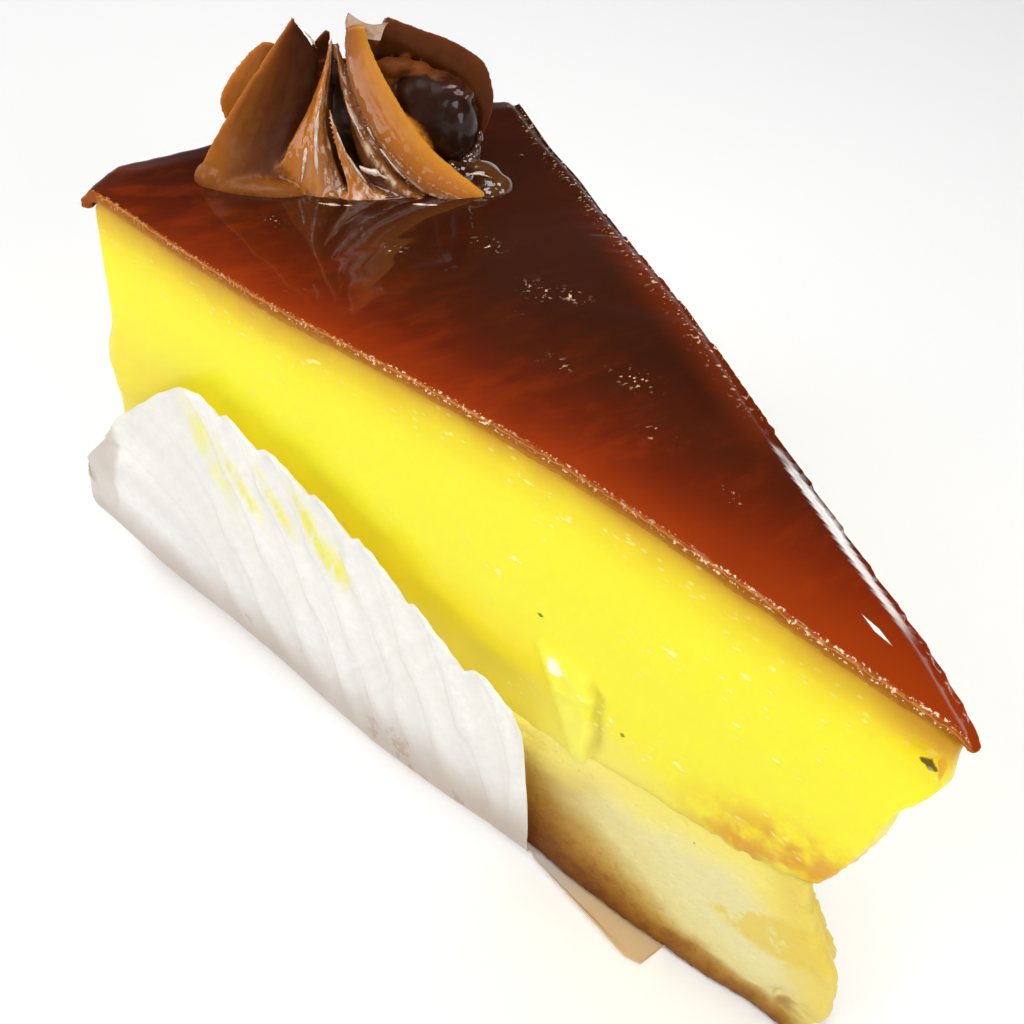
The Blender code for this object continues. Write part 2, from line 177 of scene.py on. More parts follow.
class Recipe:
    # a material's nodes, laid out as they are added
    def __init__(self, name):
        self.material = bpy.data.materials.new(name)
        self.material.use_nodes = True
        self.tree = self.material.node_tree
        self.shader = self.tree.nodes["Principled BSDF"]
        self.column = 0

    def node(self, kind, **settings):
        made = self.tree.nodes.new("ShaderNode" + kind)
        self.column += 1
        made.location = (-200 * self.column, -60 * (self.column % 5))
        for key, value in settings.items():
            setattr(made, key, value)
        return made

    def wire(self, source, target):
        self.tree.links.new(source, target)

    def attribute(self, name):
        return self.node("Attribute", attribute_name=name).outputs["Fac"]

    def place(self, scale=(1, 1, 1), turn=(0, 0, 0)):
        mapping = self.node("Mapping")
        mapping.inputs["Scale"].default_value = scale
        mapping.inputs["Rotation"].default_value = turn
        self.wire(self.node("TexCoord").outputs["Object"], mapping.inputs["Vector"])
        return mapping.outputs["Vector"]

    def noise(self, scale, detail=3.0, roughness=0.5, where=None):
        made = self.node("TexNoise")
        made.inputs["Scale"].default_value = scale
        made.inputs["Detail"].default_value = detail
        made.inputs["Roughness"].default_value = roughness
        self.wire(where or self.place(), made.inputs["Vector"])
        return made.outputs["Fac"]

    def cells(self, scale, where=None):
        made = self.node("TexVoronoi")
        made.inputs["Scale"].default_value = scale
        self.wire(where or self.place(), made.inputs["Vector"])
        return made.outputs["Distance"]

    def maths(self, operation, first, second=None, third=None):
        made = self.node("Math", operation=operation)
        for socket, item in zip(made.inputs, (first, second, third)):
            if item is None:
                continue
            if isinstance(item, (int, float)):
                socket.default_value = item
            else:
                self.wire(item, socket)
        return made.outputs[0]

    def times(self, first, second):
        return self.maths("MULTIPLY", first, second)

    def plus(self, first, second):
        return self.maths("ADD", first, second)

    def minus(self, first, second):
        return self.maths("SUBTRACT", first, second)

    def larger(self, first, second):
        return self.maths("MAXIMUM", first, second)

    def timesPlus(self, first, second, third):
        return self.maths("MULTIPLY_ADD", first, second, third)

    def apart(self, first, second):
        return self.maths("ABSOLUTE", self.minus(first, second))

    def shaken(self, source, width, grain):
        # noise added to a value, as much up as down
        return self.plus(source, self.timesPlus(grain, width, -width / 2))

    def span(self, source, low, high, start=0.0, end=1.0, smooth=True):
        made = self.node("MapRange", interpolation_type="SMOOTHSTEP" if smooth else "LINEAR")
        for name, number in (("From Min", low), ("From Max", high), ("To Min", start), ("To Max", end)):
            made.inputs[name].default_value = number
        self.wire(source, made.inputs["Value"])
        return made.outputs["Result"]

    def ramp(self, source, stops):
        made = self.node("ValToRGB")
        stopsList = made.color_ramp.elements
        while len(stopsList) < len(stops):
            stopsList.new(0.5)
        for element, (position, shade) in zip(stopsList, stops):
            element.position = position
            element.color = colour(*shade)
        self.wire(source, made.inputs["Fac"])
        return made.outputs["Color"]

    def blend(self, share, first, second, mode="MIX"):
        made = self.node("Mix", data_type="RGBA", blend_type=mode)
        for socket, item in ((made.inputs[0], share), (made.inputs[6], first), (made.inputs[7], second)):
            if isinstance(item, (int, float)):
                socket.default_value = item
            elif isinstance(item, tuple):
                socket.default_value = colour(*item)
            else:
                self.wire(item, socket)
        return made.outputs[2]

    def relief(self, source, depth, strength=1.0, onto=None):
        made = self.node("Bump")
        made.inputs["Distance"].default_value = depth * mm
        made.inputs["Strength"].default_value = strength
        self.wire(source, made.inputs["Height"])
        if onto:
            self.wire(onto, made.inputs["Normal"])
        return made.outputs["Normal"]

    def surface(self, settings):
        # the shader's own inputs: numbers are set and sockets are wired
        for name, item in settings.items():
            if isinstance(item, bpy.types.NodeSocket):
                self.wire(item, self.shader.inputs[name])
            else:
                self.shader.inputs[name].default_value = item
        return self.material


# camera

cameraData = bpy.data.cameras.new("sliceCamera")
camera = bpy.data.objects.new("sliceCamera", cameraData)
bpy.context.scene.collection.objects.link(camera)
camera.location = cakeAxis + Vector((15.21, -78.20, 145.20)) * mm
camera.rotation_euler = [math.radians(turn) for turn in (44.809, -7.702, 53.569)]
cameraData.lens = 41.76
cameraData.sensor_width = 36
cameraData.clip_start = 0.005
bpy.context.scene.camera = camera
print("camera set")


# sponge base

sponge = {
    "voxel": 0.6,
    "crumbDepth": 0.14,
    "poreDepth": 0.45,
    "tearDepth": 0.7,
    "sag": 1.2,  # how far the foot swells out of the cut face
    "brokenTip": 3.4,  # how much of the tip's far corner is gone
    "cavity": (1.0, 6.0),  # where crumb came off by the tip: distance from the tip, height
    "cavityDepth": 1.3,
    "raised": 0.5,  # the top reaches up into the custard
    "drawnBack": 0.7,  # how far the top of the near face stands back
}


def sagAt(along):
    # the foot swells between the tip and the middle of the slice, and draws in at the rim
    swell = sponge["sag"] * ease(12, 22, along) - 0.6 * ease(30, 42, along)
    return swell * ease(100, 72, along) - 1.4 * ease(100, 125, along)


def paperLift(along):
    # the corner by the rim is lifted off the ground
    return 0.8 * bump(along, 100, 10) + 3.8 * ease(101, 129, along)


def makeSponge():
    piece = copyOfNode("sponge_base", "spongeBase")
    remesh(piece, sponge["voxel"], 1)
    marks = {name: [] for name in ("crustHeight", "underSeam", "along", "smear", "cavity")}
    for vert, normal in withNormals(piece):
        point = vert.co / mm
        along, out, height = faceSpot(vert.co)
        reach = math.hypot(along, out)
        side = ease(0.95, 0.6, abs(normal.z))
        # open crumb on every side, coarser where the tip is torn
        crumb = sponge["crumbDepth"] * (lump(point, 1.6) + 0.6 * lump(point, 0.8, 5.0))
        pores = max(0.0, lump(point, 2.2, 9.0) - 0.35) * sponge["poreDepth"]
        torn = ease(12, 0, along) * sponge["tearDepth"] * lump(point, 4.0, 3.0)
        shift = normal * (crumb - pores + torn) * side
        # the foot of the near face swells out
        nearness = ease(-7, 0, out)
        shift += outOfFace * sagAt(along) * nearness * ease(15, 1, height)
        # the far corner of the tip is broken away
        farCorner = ease(-0.6, -4.0, out) * ease(14, 4, along) * ease(2, 9, height)
        shift += alongFace * sponge["brokenTip"] * farCorner
        # a cavity where crumb came off by the tip
        cavityAlong, cavityHeight = sponge["cavity"]
        cavity = bump(along, cavityAlong, 2.2) * bump(height, cavityHeight, 2.6) * ease(-3.5, -1.5, out)
        shift += alongFace * sponge["cavityDepth"] * cavity
        # crisp bottom corner
        corner = (0.5 + 0.5 * ease(9, 16, along)) * ease(4.5, 1.5, height) * ease(100, 80, along)
        shift += outOfFace * corner * nearness
        shift += outOfFace * 0.9 * bump(along, 11, 5) * ease(4.5, 1.0, height) * nearness
        # the bare tip sits on the ground
        shift.z -= (0.25 + 0.5 * ease(19, 15, along)) * ease(3.2, 1.2, height)
        shift.z += paperLift(along) * ease(-6, -0.5, out) * ease(8, 1, height)
        # no gap to the custard
        if normal.z > 0.5:
            shift.z += sponge["raised"]
        # the top draws back under the custard
        underCustard = ease(5.5, 0.0, seamAt(reach) - height) * ease(-5, 0, out) * ease(5, 11, along)
        shift -= outOfFace * sponge["drawnBack"] * underCustard
        # the very tip spreads on the ground
        shift -= alongFace * ease(5, 1, height) * ease(6, 0, along)
        vert.co += shift * mm
        marks["crustHeight"].append(height + 0.8 * lump(point, 6.0, 1.0) + 0.5 * lump(point, 1.7, 2.0))
        marks["underSeam"].append(seamAt(reach) - height - 5.0 * ease(17, 7, along))
        marks["along"].append(along + 1.5 * lump(point, 4.0, 7.0))
        # a wedge of custard smeared down the tip, and specks of crust in the cavity
        spread = min(5.0, 0.4 + 0.6 * max(0.0, 15.2 - along))
        middle = 14 + 0.35 * (15 - along) + 0.5 * lump(point, 2.5, 6.0)
        wedge = ease(15.6, 14.6, along) * ease(spread, 0.6 * spread, abs(height - middle))
        marks["smear"].append(0.8 * wedge)
        marks["cavity"].append(min(1.0, cavity * 0.8) * ease(-0.2, 0.3, lump(point, 1.2, 8.0)))
    paint(piece, marks)
    return piece


def spongeMaterial():
    recipe = Recipe("paleSponge")
    height = recipe.attribute("crustHeight")
    along = recipe.attribute("along")
    coarse = recipe.noise(160, 4)
    # browned foot, thick by the paper and thin at the tip
    thick = recipe.span(along, 10.0, 38.0, 0.65, 1.7)
    crust = recipe.maths("DIVIDE", height, thick)
    tone = recipe.ramp(
        recipe.span(crust, 0.0, 16.0, smooth=False),
        [
            (0.0, (104, 52, 12)),
            (0.12, (132, 78, 20)),
            (0.26, (164, 112, 36)),
            (0.4, (200, 162, 80)),
            (0.6, (234, 220, 150)),
            (1.0, (241, 231, 168)),
        ],
    )
    # painted shade: darker and greyer next to the paper, where the paper shades the sponge
    tone = recipe.blend(recipe.span(along, 29.0, 43.0, 0.0, 0.85), tone, (200, 168, 78), "MULTIPLY")
    # darker crumbs in the brown, faint mottling in the cream
    browned = recipe.span(crust, 4.0, 9.0, 0.55, 0.07)
    crumbs = recipe.times(recipe.span(recipe.noise(560, 5, 0.75), 0.42, 0.7), browned)
    tone = recipe.blend(crumbs, tone, (190, 140, 74), "MULTIPLY")
    # soaked with custard at the top
    under = recipe.plus(recipe.attribute("underSeam"), recipe.times(coarse, 5.0))
    wet = recipe.span(under, 3.0, 9.5, 1.0, 0.0)
    tone = recipe.blend(wet, tone, (249, 233, 122))
    # yellower at the tip, with a smear of custard
    tipward = recipe.timesPlus(recipe.minus(height, 14.0), -0.5, along)
    tone = recipe.blend(recipe.span(tipward, 0.0, 8.0, 0.85, 0.0), tone, (238, 212, 96))
    broken = recipe.span(recipe.noise(300, 4, 0.6), 0.36, 0.5)
    tone = recipe.blend(recipe.times(recipe.attribute("smear"), broken), tone, (238, 208, 84))
    tone = recipe.blend(recipe.attribute("cavity"), tone, (170, 118, 40))
    specks = recipe.span(recipe.cells(260), 0.05, 0.09, 1.0, 0.0)
    specks = recipe.times(specks, recipe.span(coarse, 0.55, 0.62))
    tone = recipe.blend(specks, tone, (150, 104, 40))
    grain = recipe.relief(recipe.noise(1300, 5, 0.7), 0.35, 0.7)
    holes = recipe.relief(recipe.span(recipe.cells(520), 0.10, 0.34), 0.3, 0.4, grain)
    return recipe.surface({
        "Base Color": tone,
        "Roughness": 0.58,
        "Specular IOR Level": 0.2,
        "Subsurface Weight": 0.15,
        "Subsurface Radius": (1.0, 0.7, 0.25),
        "Subsurface Scale": 0.0025,
        "Normal": holes,
    })


finishPiece(makeSponge(), spongeMaterial(), "sponge_base")


# custard

custard = {
    "voxel": 0.55,
    "ripple": 0.06,
    # a lifted flap, with a painted highlight on it, and the crumbly patch by the tip: distance from the tip,
    # height
    "flapFoot": (36.6, 23.0),
    "flapSpot": (42.7, 36.7),
    "flapDepth": 0.7,
    "creaseDepth": 0.25,
    "crumbly": (11.0, 31.0),
    "crumbDepth": 0.4,
    "tipLump": 0.4,
    "slitDepth": 1.1,
    "rimLean": 1.6,
    # the skirt over the sponge: how far it hangs down, and how far its foot sinks in
    "skirtDrop": 4.6,
    "skirtSink": 0.8,
    "farInset": 0.6,
    "tuck": 0.9,  # how far the top reaches up into the glaze
    # a slit by the glaze, its dark tone painted shade in its hollow, with a strand across it, and two specks:
    # place, height, half sizes, tone
    "specks": [(4.5, 55.6, 1.0, 0.6, (74, 46, 10)), (3.4, 56.3, 0.5, 1.7, (226, 166, 44)),
               (46.1, 43.0, 0.5, 0.35, (110, 92, 18)), (32.6, 32.0, 0.45, 0.5, (150, 112, 14))],
}


def topShift(point):
    # how the top of the slice departs from the plain solid, for glaze and custard alike
    along, out, height = faceSpot(point)
    local = (point - cakeAxis) / mm
    reach = math.hypot(local.x, local.y)
    fromFar = -local.dot(outOfFar)
    radial = Vector((local.x, local.y, 0)) / max(reach, 1.0)
    rim = ease(100, 117, reach)
    corner = rim * ease(16, 1, -out)
    lift = 0.75 + 0.25 * rim + 0.4 * corner
    lift *= 1 - 0.85 * bump((local - Vector((-107, 0, local.z))).length, 0, 20)  # lower round the swirl
    shift = Vector((0, 0, lift))
    shift += radial * (0.5 * rim + 0.7 * corner)
    bulge = 0.1 - 0.65 * bump(reach, 42, 17) + 0.9 * bump(reach, 8, 12) - 1.0 * ease(96, 108, reach)
    shift += outOfFar * bulge * ease(9, 0, fromFar) * ease(0, 4, reach)
    return shift


def makeCustard():
    piece = copyOfNode("custard_layer", "custardLayer")
    remesh(piece, custard["voxel"], 2)
    marks = {name: [] for name in ("underTop", "crumbly", "along", "crease", "flap", "level", "skirt")}
    for vert, normal in withNormals(piece):
        point = vert.co / mm
        along, out, height = faceSpot(vert.co)
        fromFar = -((vert.co - cakeAxis) / mm).dot(outOfFar)
        reach = math.hypot(along, out)
        under = custardTop + domeAt(reach) - height
        side = ease(0.95, 0.6, abs(normal.z))
        onNear = ease(0.3, 0.8, normal.dot(outOfFace))
        relief = custard["ripple"] * (lump(point, 9.0) + 0.3 * lump(point, 3.0, 4.0))
        # a lifted flap of custard over the sponge, with a crease on its tip side
        flapAlong, flapHeight = custard["flapFoot"]
        lean = along - flapAlong - 0.33 * (height - flapHeight) + 0.6 * lump(point, 3.0, 2.0)
        wide = mix(1.6, 4.2, ease(22, 35, height))
        flap = ease(wide + 0.5, wide - 1.3, abs(lean)) * ease(21, 24, height) * ease(40.5, 37.5, height)
        crease = bump(lean + wide, 0.0, 0.7) * ease(25, 29, height) * ease(39, 36, height)
        raised = custard["flapDepth"] * flap * (0.8 + 0.5 * lump(point, 2.4, 6.0))
        relief += onNear * (raised - custard["creaseDepth"] * crease)
        # crumbly patch where the layers part near the tip
        crumblyAlong, crumblyHeight = custard["crumbly"]
        crumbly = bump(height, crumblyHeight - 0.25 * (along - crumblyAlong), 5.0)
        crumbly *= bump(along, crumblyAlong, 10.0)
        relief += onNear * crumbly * custard["crumbDepth"] * lump(point, 1.7, 7.0)
        # the foot comes out level with the sponge, a little ragged
        foot = ease(14.0, 4.0, height - seamAt(reach))
        relief += onNear * foot * (0.2 * ease(28, 40, along) + 0.1 + 0.15 * lump(point, 2.6, 6.0))
        shift = normal * relief * side
        # the broken tip leans out over the sponge
        tip = ease(16, 4, along) * ease(28, 33, height) * ease(59, 54, height)
        shift -= alongFace * tip * (mix(2.3, 0.45, ease(33, 48, height)) + 0.9 * bump(height, 53, 3))
        shift -= alongFace * tip * custard["tipLump"] * lump(point, 5.0, 1.0)
        # a slit under the glaze at the tip
        slit = bump(along, 6.0, 2.3) * bump(height, 57.3 - 0.15 * along, 0.8) * onNear
        shift -= outOfFace * custard["slitDepth"] * slit
        # the rim leans out above the paper
        rimSide = ease(0.3, 0.8, -normal.x) * ease(110, 118, reach)
        shift += Vector((-1, 0, 0)) * rimSide * (1.2 * bump(height, 40, 8) + 1.3 * bump(height, 31, 7))
        nearRim = ease(112, 118, along) * ease(-7, -1, out) * ease(44, 36, height)
        shift += alongFace * custard["rimLean"] * nearRim
        # the face thins out over the sponge, so that no step is left
        skin = ease(-2.2, -0.8, out) * ease(5, 11, along)
        above = height - seamAt(reach)
        lowered = custard["skirtDrop"] * ease(8.5, 0.0, above) * skin
        shift.z -= lowered
        above -= lowered
        sunk = custard["skirtSink"] * ease(1.0, -4.6, above)
        sunk += 0.22 * lump(point, 1.5, 8.0) * ease(4, 0, above)
        shift -= outOfFace * sunk * skin
        shift += topShift(vert.co) * ease(46, 60, height)
        # no custard shows past the glaze's far edge
        farEdge = ease(53, 58, height) * bump(reach, 40, 25) * ease(4, 0, fromFar)
        shift -= outOfFar * custard["farInset"] * farEdge
        shift.z += custard["tuck"] * ease(57.5, 60, height)
        vert.co += shift * mm
        marks["underTop"].append(under + lowered)
        marks["level"].append(height)
        marks["skirt"].append(onNear * ease(1.5, -3.0, above) * ease(6, 14, along))
        marks["crumbly"].append(min(1.0, crumbly * 1.4))
        marks["along"].append(along if onNear > 0.2 else farAway)
        marks["crease"].append(onNear * crease * 0.6)
        # painted highlight: a bright spot on the flap, and the flap itself painted paler where it is lit
        fromSpot = math.hypot(along - custard["flapSpot"][0], height - custard["flapSpot"][1])
        flapHighlight = ease(1.7, 0.8, fromSpot + 0.5 * lump(point, 1.0, 3.0))
        mottled = min(0.8, flap * (0.45 + 0.4 * lump(point, 1.7, 5.0)))
        marks["flap"].append(onNear * min(1.0, mottled + flapHighlight))
    paint(piece, marks)
    return piece


def custardMaterial():
    recipe = Recipe("yellowCustard")
    under = recipe.attribute("underTop")
    along = recipe.attribute("along")
    tone = recipe.ramp(
        recipe.span(recipe.shaken(under, 1.4, recipe.noise(220, 3)), 0.7, 8.6, smooth=False),
        [
            (0.0, (206, 150, 28)),
            (0.07, (216, 166, 28)),
            (0.17, (230, 190, 30)),
            (0.38, (245, 222, 36)),
            (0.7, (252, 238, 46)),
            (1.0, (252, 242, 50)),
        ],
    )
    # deeper yellow towards the foot beside the paper: partly its own colour, partly painted shade of the
    # undercut there
    foot = recipe.span(recipe.timesPlus(along, 0.10, under), 24.0, 34.0)
    foot = recipe.times(foot, recipe.span(along, 36.0, 46.0, 0.15, 0.7))
    tone = recipe.blend(foot, tone, (250, 224, 42))
    # paler where it thins out over the sponge
    pale = recipe.span(recipe.timesPlus(recipe.noise(180, 4), 5.0, under), 31.5, 38.0)
    pale = recipe.times(pale, recipe.span(along, 18.0, 30.0, 0.15, 0.75))
    tone = recipe.blend(pale, tone, (246, 230, 104))
    patchy = recipe.span(recipe.noise(260, 4, 0.6), 0.2, 0.5, 0.5, 0.95)
    tone = recipe.blend(recipe.times(recipe.attribute("skirt"), patchy), tone, (248, 233, 126))
    # orange where it crumbles
    patchy = recipe.span(recipe.noise(330, 3), 0.30, 0.62, 0.25, 1.0)
    tone = recipe.blend(recipe.times(recipe.attribute("crumbly"), patchy), tone, (224, 164, 40))
    # painted light and shade: the lifted flap paler where lit, a painted highlight on it, and painted shade
    # in the crease beside it
    flap = recipe.attribute("flap")
    tone = recipe.blend(recipe.times(flap, 0.9), tone, (255, 252, 96))
    tone = recipe.blend(recipe.span(flap, 0.86, 0.98), tone, (255, 255, 220))
    tone = recipe.blend(recipe.times(recipe.attribute("crease"), 0.7), tone, (160, 124, 20))
    # the slit's dark tone is painted shade in its hollow; the strand and the two specks are their own colours
    for place, level, wide, tall, mark in custard["specks"]:
        sideways = recipe.apart(along, place)
        upward = recipe.apart(recipe.attribute("level"), level)
        away = recipe.timesPlus(sideways, 1 / wide, recipe.times(upward, 1 / tall))
        away = recipe.shaken(away, 1.2, recipe.noise(900, 2))
        tone = recipe.blend(recipe.span(away, 0.75, 1.1, 0.9, 0.0), tone, mark)
    # painted highlights: small glints drawn out along the cut, more of them in a row of bubbles under the
    # glaze
    marks = recipe.place((380, 500, 900), (0, math.radians(14), 0))
    spots = recipe.span(recipe.noise(1.0, 2, 0.5, marks), 0.66, 0.72)
    sparse = recipe.span(recipe.noise(110, 2), 0.52, 0.60)
    sparse = recipe.times(sparse, recipe.span(along, 44.0, 78.0, 1.0, 0.25))
    bubbles = recipe.span(recipe.apart(under, 3.8), 0.8, 2.2, 1.0, 0.0)
    where = recipe.larger(sparse, recipe.times(bubbles, 0.6))
    fine = recipe.span(recipe.cells(1.0, recipe.place((420, 700, 700))), 0.08, 0.24, 1.0, 0.0)
    fine = recipe.times(fine, recipe.times(where, 0.6))
    glints = recipe.larger(recipe.times(spots, where), fine)
    tone = recipe.blend(recipe.times(glints, 0.75), tone, (255, 255, 176))
    return recipe.surface({
        "Base Color": tone,
        "Roughness": recipe.span(recipe.noise(300, 3), 0.3, 0.7, 0.30, 0.45),
        "Specular IOR Level": 0.12,
        "Subsurface Weight": 0.3,
        "Subsurface Radius": (1.0, 0.7, 0.1),
        "Subsurface Scale": 0.004,
        "Coat Weight": 0.12,
        "Coat Roughness": 0.15,
        "Normal": recipe.relief(recipe.noise(260, 3), 0.3, 0.25),
    })


finishPiece(makeCustard(), custardMaterial(), "custard_layer")


# caramel glaze

glaze = {
    "voxel": 0.45,
    "wobble": 0.08,
    "farRoll": 0.8,
    "farRollWidth": 2.2,
    "wrinkle": 0.07,
    "farRough": 0.16,
    "groove": 62.0,  # a shallow crease across the far edge: distance from the tip
    "grooveDepth": 0.09,
    "tipThinning": 0.9,
    "ragged": 0.12,
    "streakInset": 0.62,  # a line of light this far inside the far edge
    "lipStart": 1.5,  # how far below the top the lip over the rim begins
    # clusters of sparkles on top: distance along the near face, out of it (negative is inwards), size
    "sparkles": [
        (79.3, -28.6, 1.6), (68.0, -24.0, 1.9), (64.5, -26.0, 1.5), (100.9, -12.8, 1.0), (86.6, -19.3, 1.2),
        (43.0, -11.0, 1.3), (50.0, -17.0, 1.8), (33.0, -9.0, 1.0), (58.0, -13.0, 1.2),
    ],
    "lens": (14.9, 4.6),  # a small highlight: distance from the tip, and from the near edge
    "run": 0.35,  # how much of the lip over the rim is left at the near corner
}


def makeGlaze():
    piece = copyOfNode("caramel_glaze", "caramelGlaze")
    remesh(piece, glaze["voxel"], 3)
    marks = {name: [] for name in ("fromNear", "underEdge", "reach", "fromFar", "sparkle", "streak")}
    for vert, normal in withNormals(piece):
        point = vert.co / mm
        local = (vert.co - cakeAxis) / mm
        along, out, height = faceSpot(vert.co)
        reach = math.hypot(local.x, local.y)
        fromFar = -local.dot(outOfFar)
        top = ease(0.2, 0.8, normal.z)
        relief = glaze["wobble"] * (lump(point, 14.0) + 0.3 * lump(point, 5.0, 2.0)) * top
        # the far edge rolls off, wrinkled in the middle and smooth towards the tip
        wrinkled = ease(44, 60, reach) * ease(112, 100, reach)
        roll = ease(mix(glaze["farRollWidth"], 1.5, wrinkled), 0.0, fromFar) ** 1.6
        relief -= top * roll * glaze["farRoll"] * mix(1.0, 0.6, wrinkled)
        angle = math.atan2(local.y, -local.x)
        crease = lump((reach * 0.9 + 30 * angle, angle * 12, 0.0), 1.1, 3.0)
        relief += top * wrinkled * ease(7.0, 1.0, fromFar) * glaze["wrinkle"] * crease
        relief += top * wrinkled * ease(3.4, 0.4, fromFar) * glaze["farRough"] * lump(point, 1.2, 9.0)
        # a shallow crease by the middle of the far edge
        groove = bump(reach - 0.5 * fromFar, glaze["groove"], 2.2) * ease(13, 6, fromFar) * top
        relief -= glaze["grooveDepth"] * groove
        shift = Vector((0, 0, relief)) + topShift(vert.co)
        # the lip over the rim runs down unevenly, and least at the near corner
        lipTop = glazeTop - glaze["lipStart"]
        if height < lipTop:
            run = mix(glaze["run"], 0.8 + 0.45 * lump((angle * 60, 0, 0), 4.0), ease(-1.0, -9.0, out))
            shift.z += (lipTop - height) * (1 - run)
        # close the gap to the custard, and thin out to a sharp point at the tip
        elif normal.z < -0.2:
            shift.z += glaze["tipThinning"] * ease(9, 1, reach) - 0.1
        # the cut edge is a little ragged
        onNear = ease(0.3, 0.9, normal.dot(outOfFace))
        shift += outOfFace * onNear * glaze["ragged"] * (lump(point, 1.1, 4.0) - 1)
        vert.co += shift * mm
        marks["fromNear"].append(-out)
        marks["underEdge"].append(glazeTop + domeAt(reach) - height if reach < 117 else 0.0)
        marks["reach"].append(reach)
        marks["fromFar"].append(fromFar)
        clusters = [bump(along, place, size) * bump(out, across, size * 0.7)
                    for place, across, size in glaze["sparkles"]]
        marks["sparkle"].append(max(clusters))
        # a bright line of light just inside the far edge by the tip
        wide = mix(0.25, 0.7, bump(reach, 29, 14))
        fromLine = abs(fromFar - glaze["streakInset"] - 0.2 * lump(point, 6.0, 5.0))
        streak = ease(wide + 0.3, wide - 0.1, fromLine) * ease(-0.3, 0.3, normal.z)
        streak *= ease(12, 17, reach) * ease(41, 33, reach + 4 * lump(point, 1.6, 8.0))
        marks["streak"].append(streak)
    paint(piece, marks)
    return piece


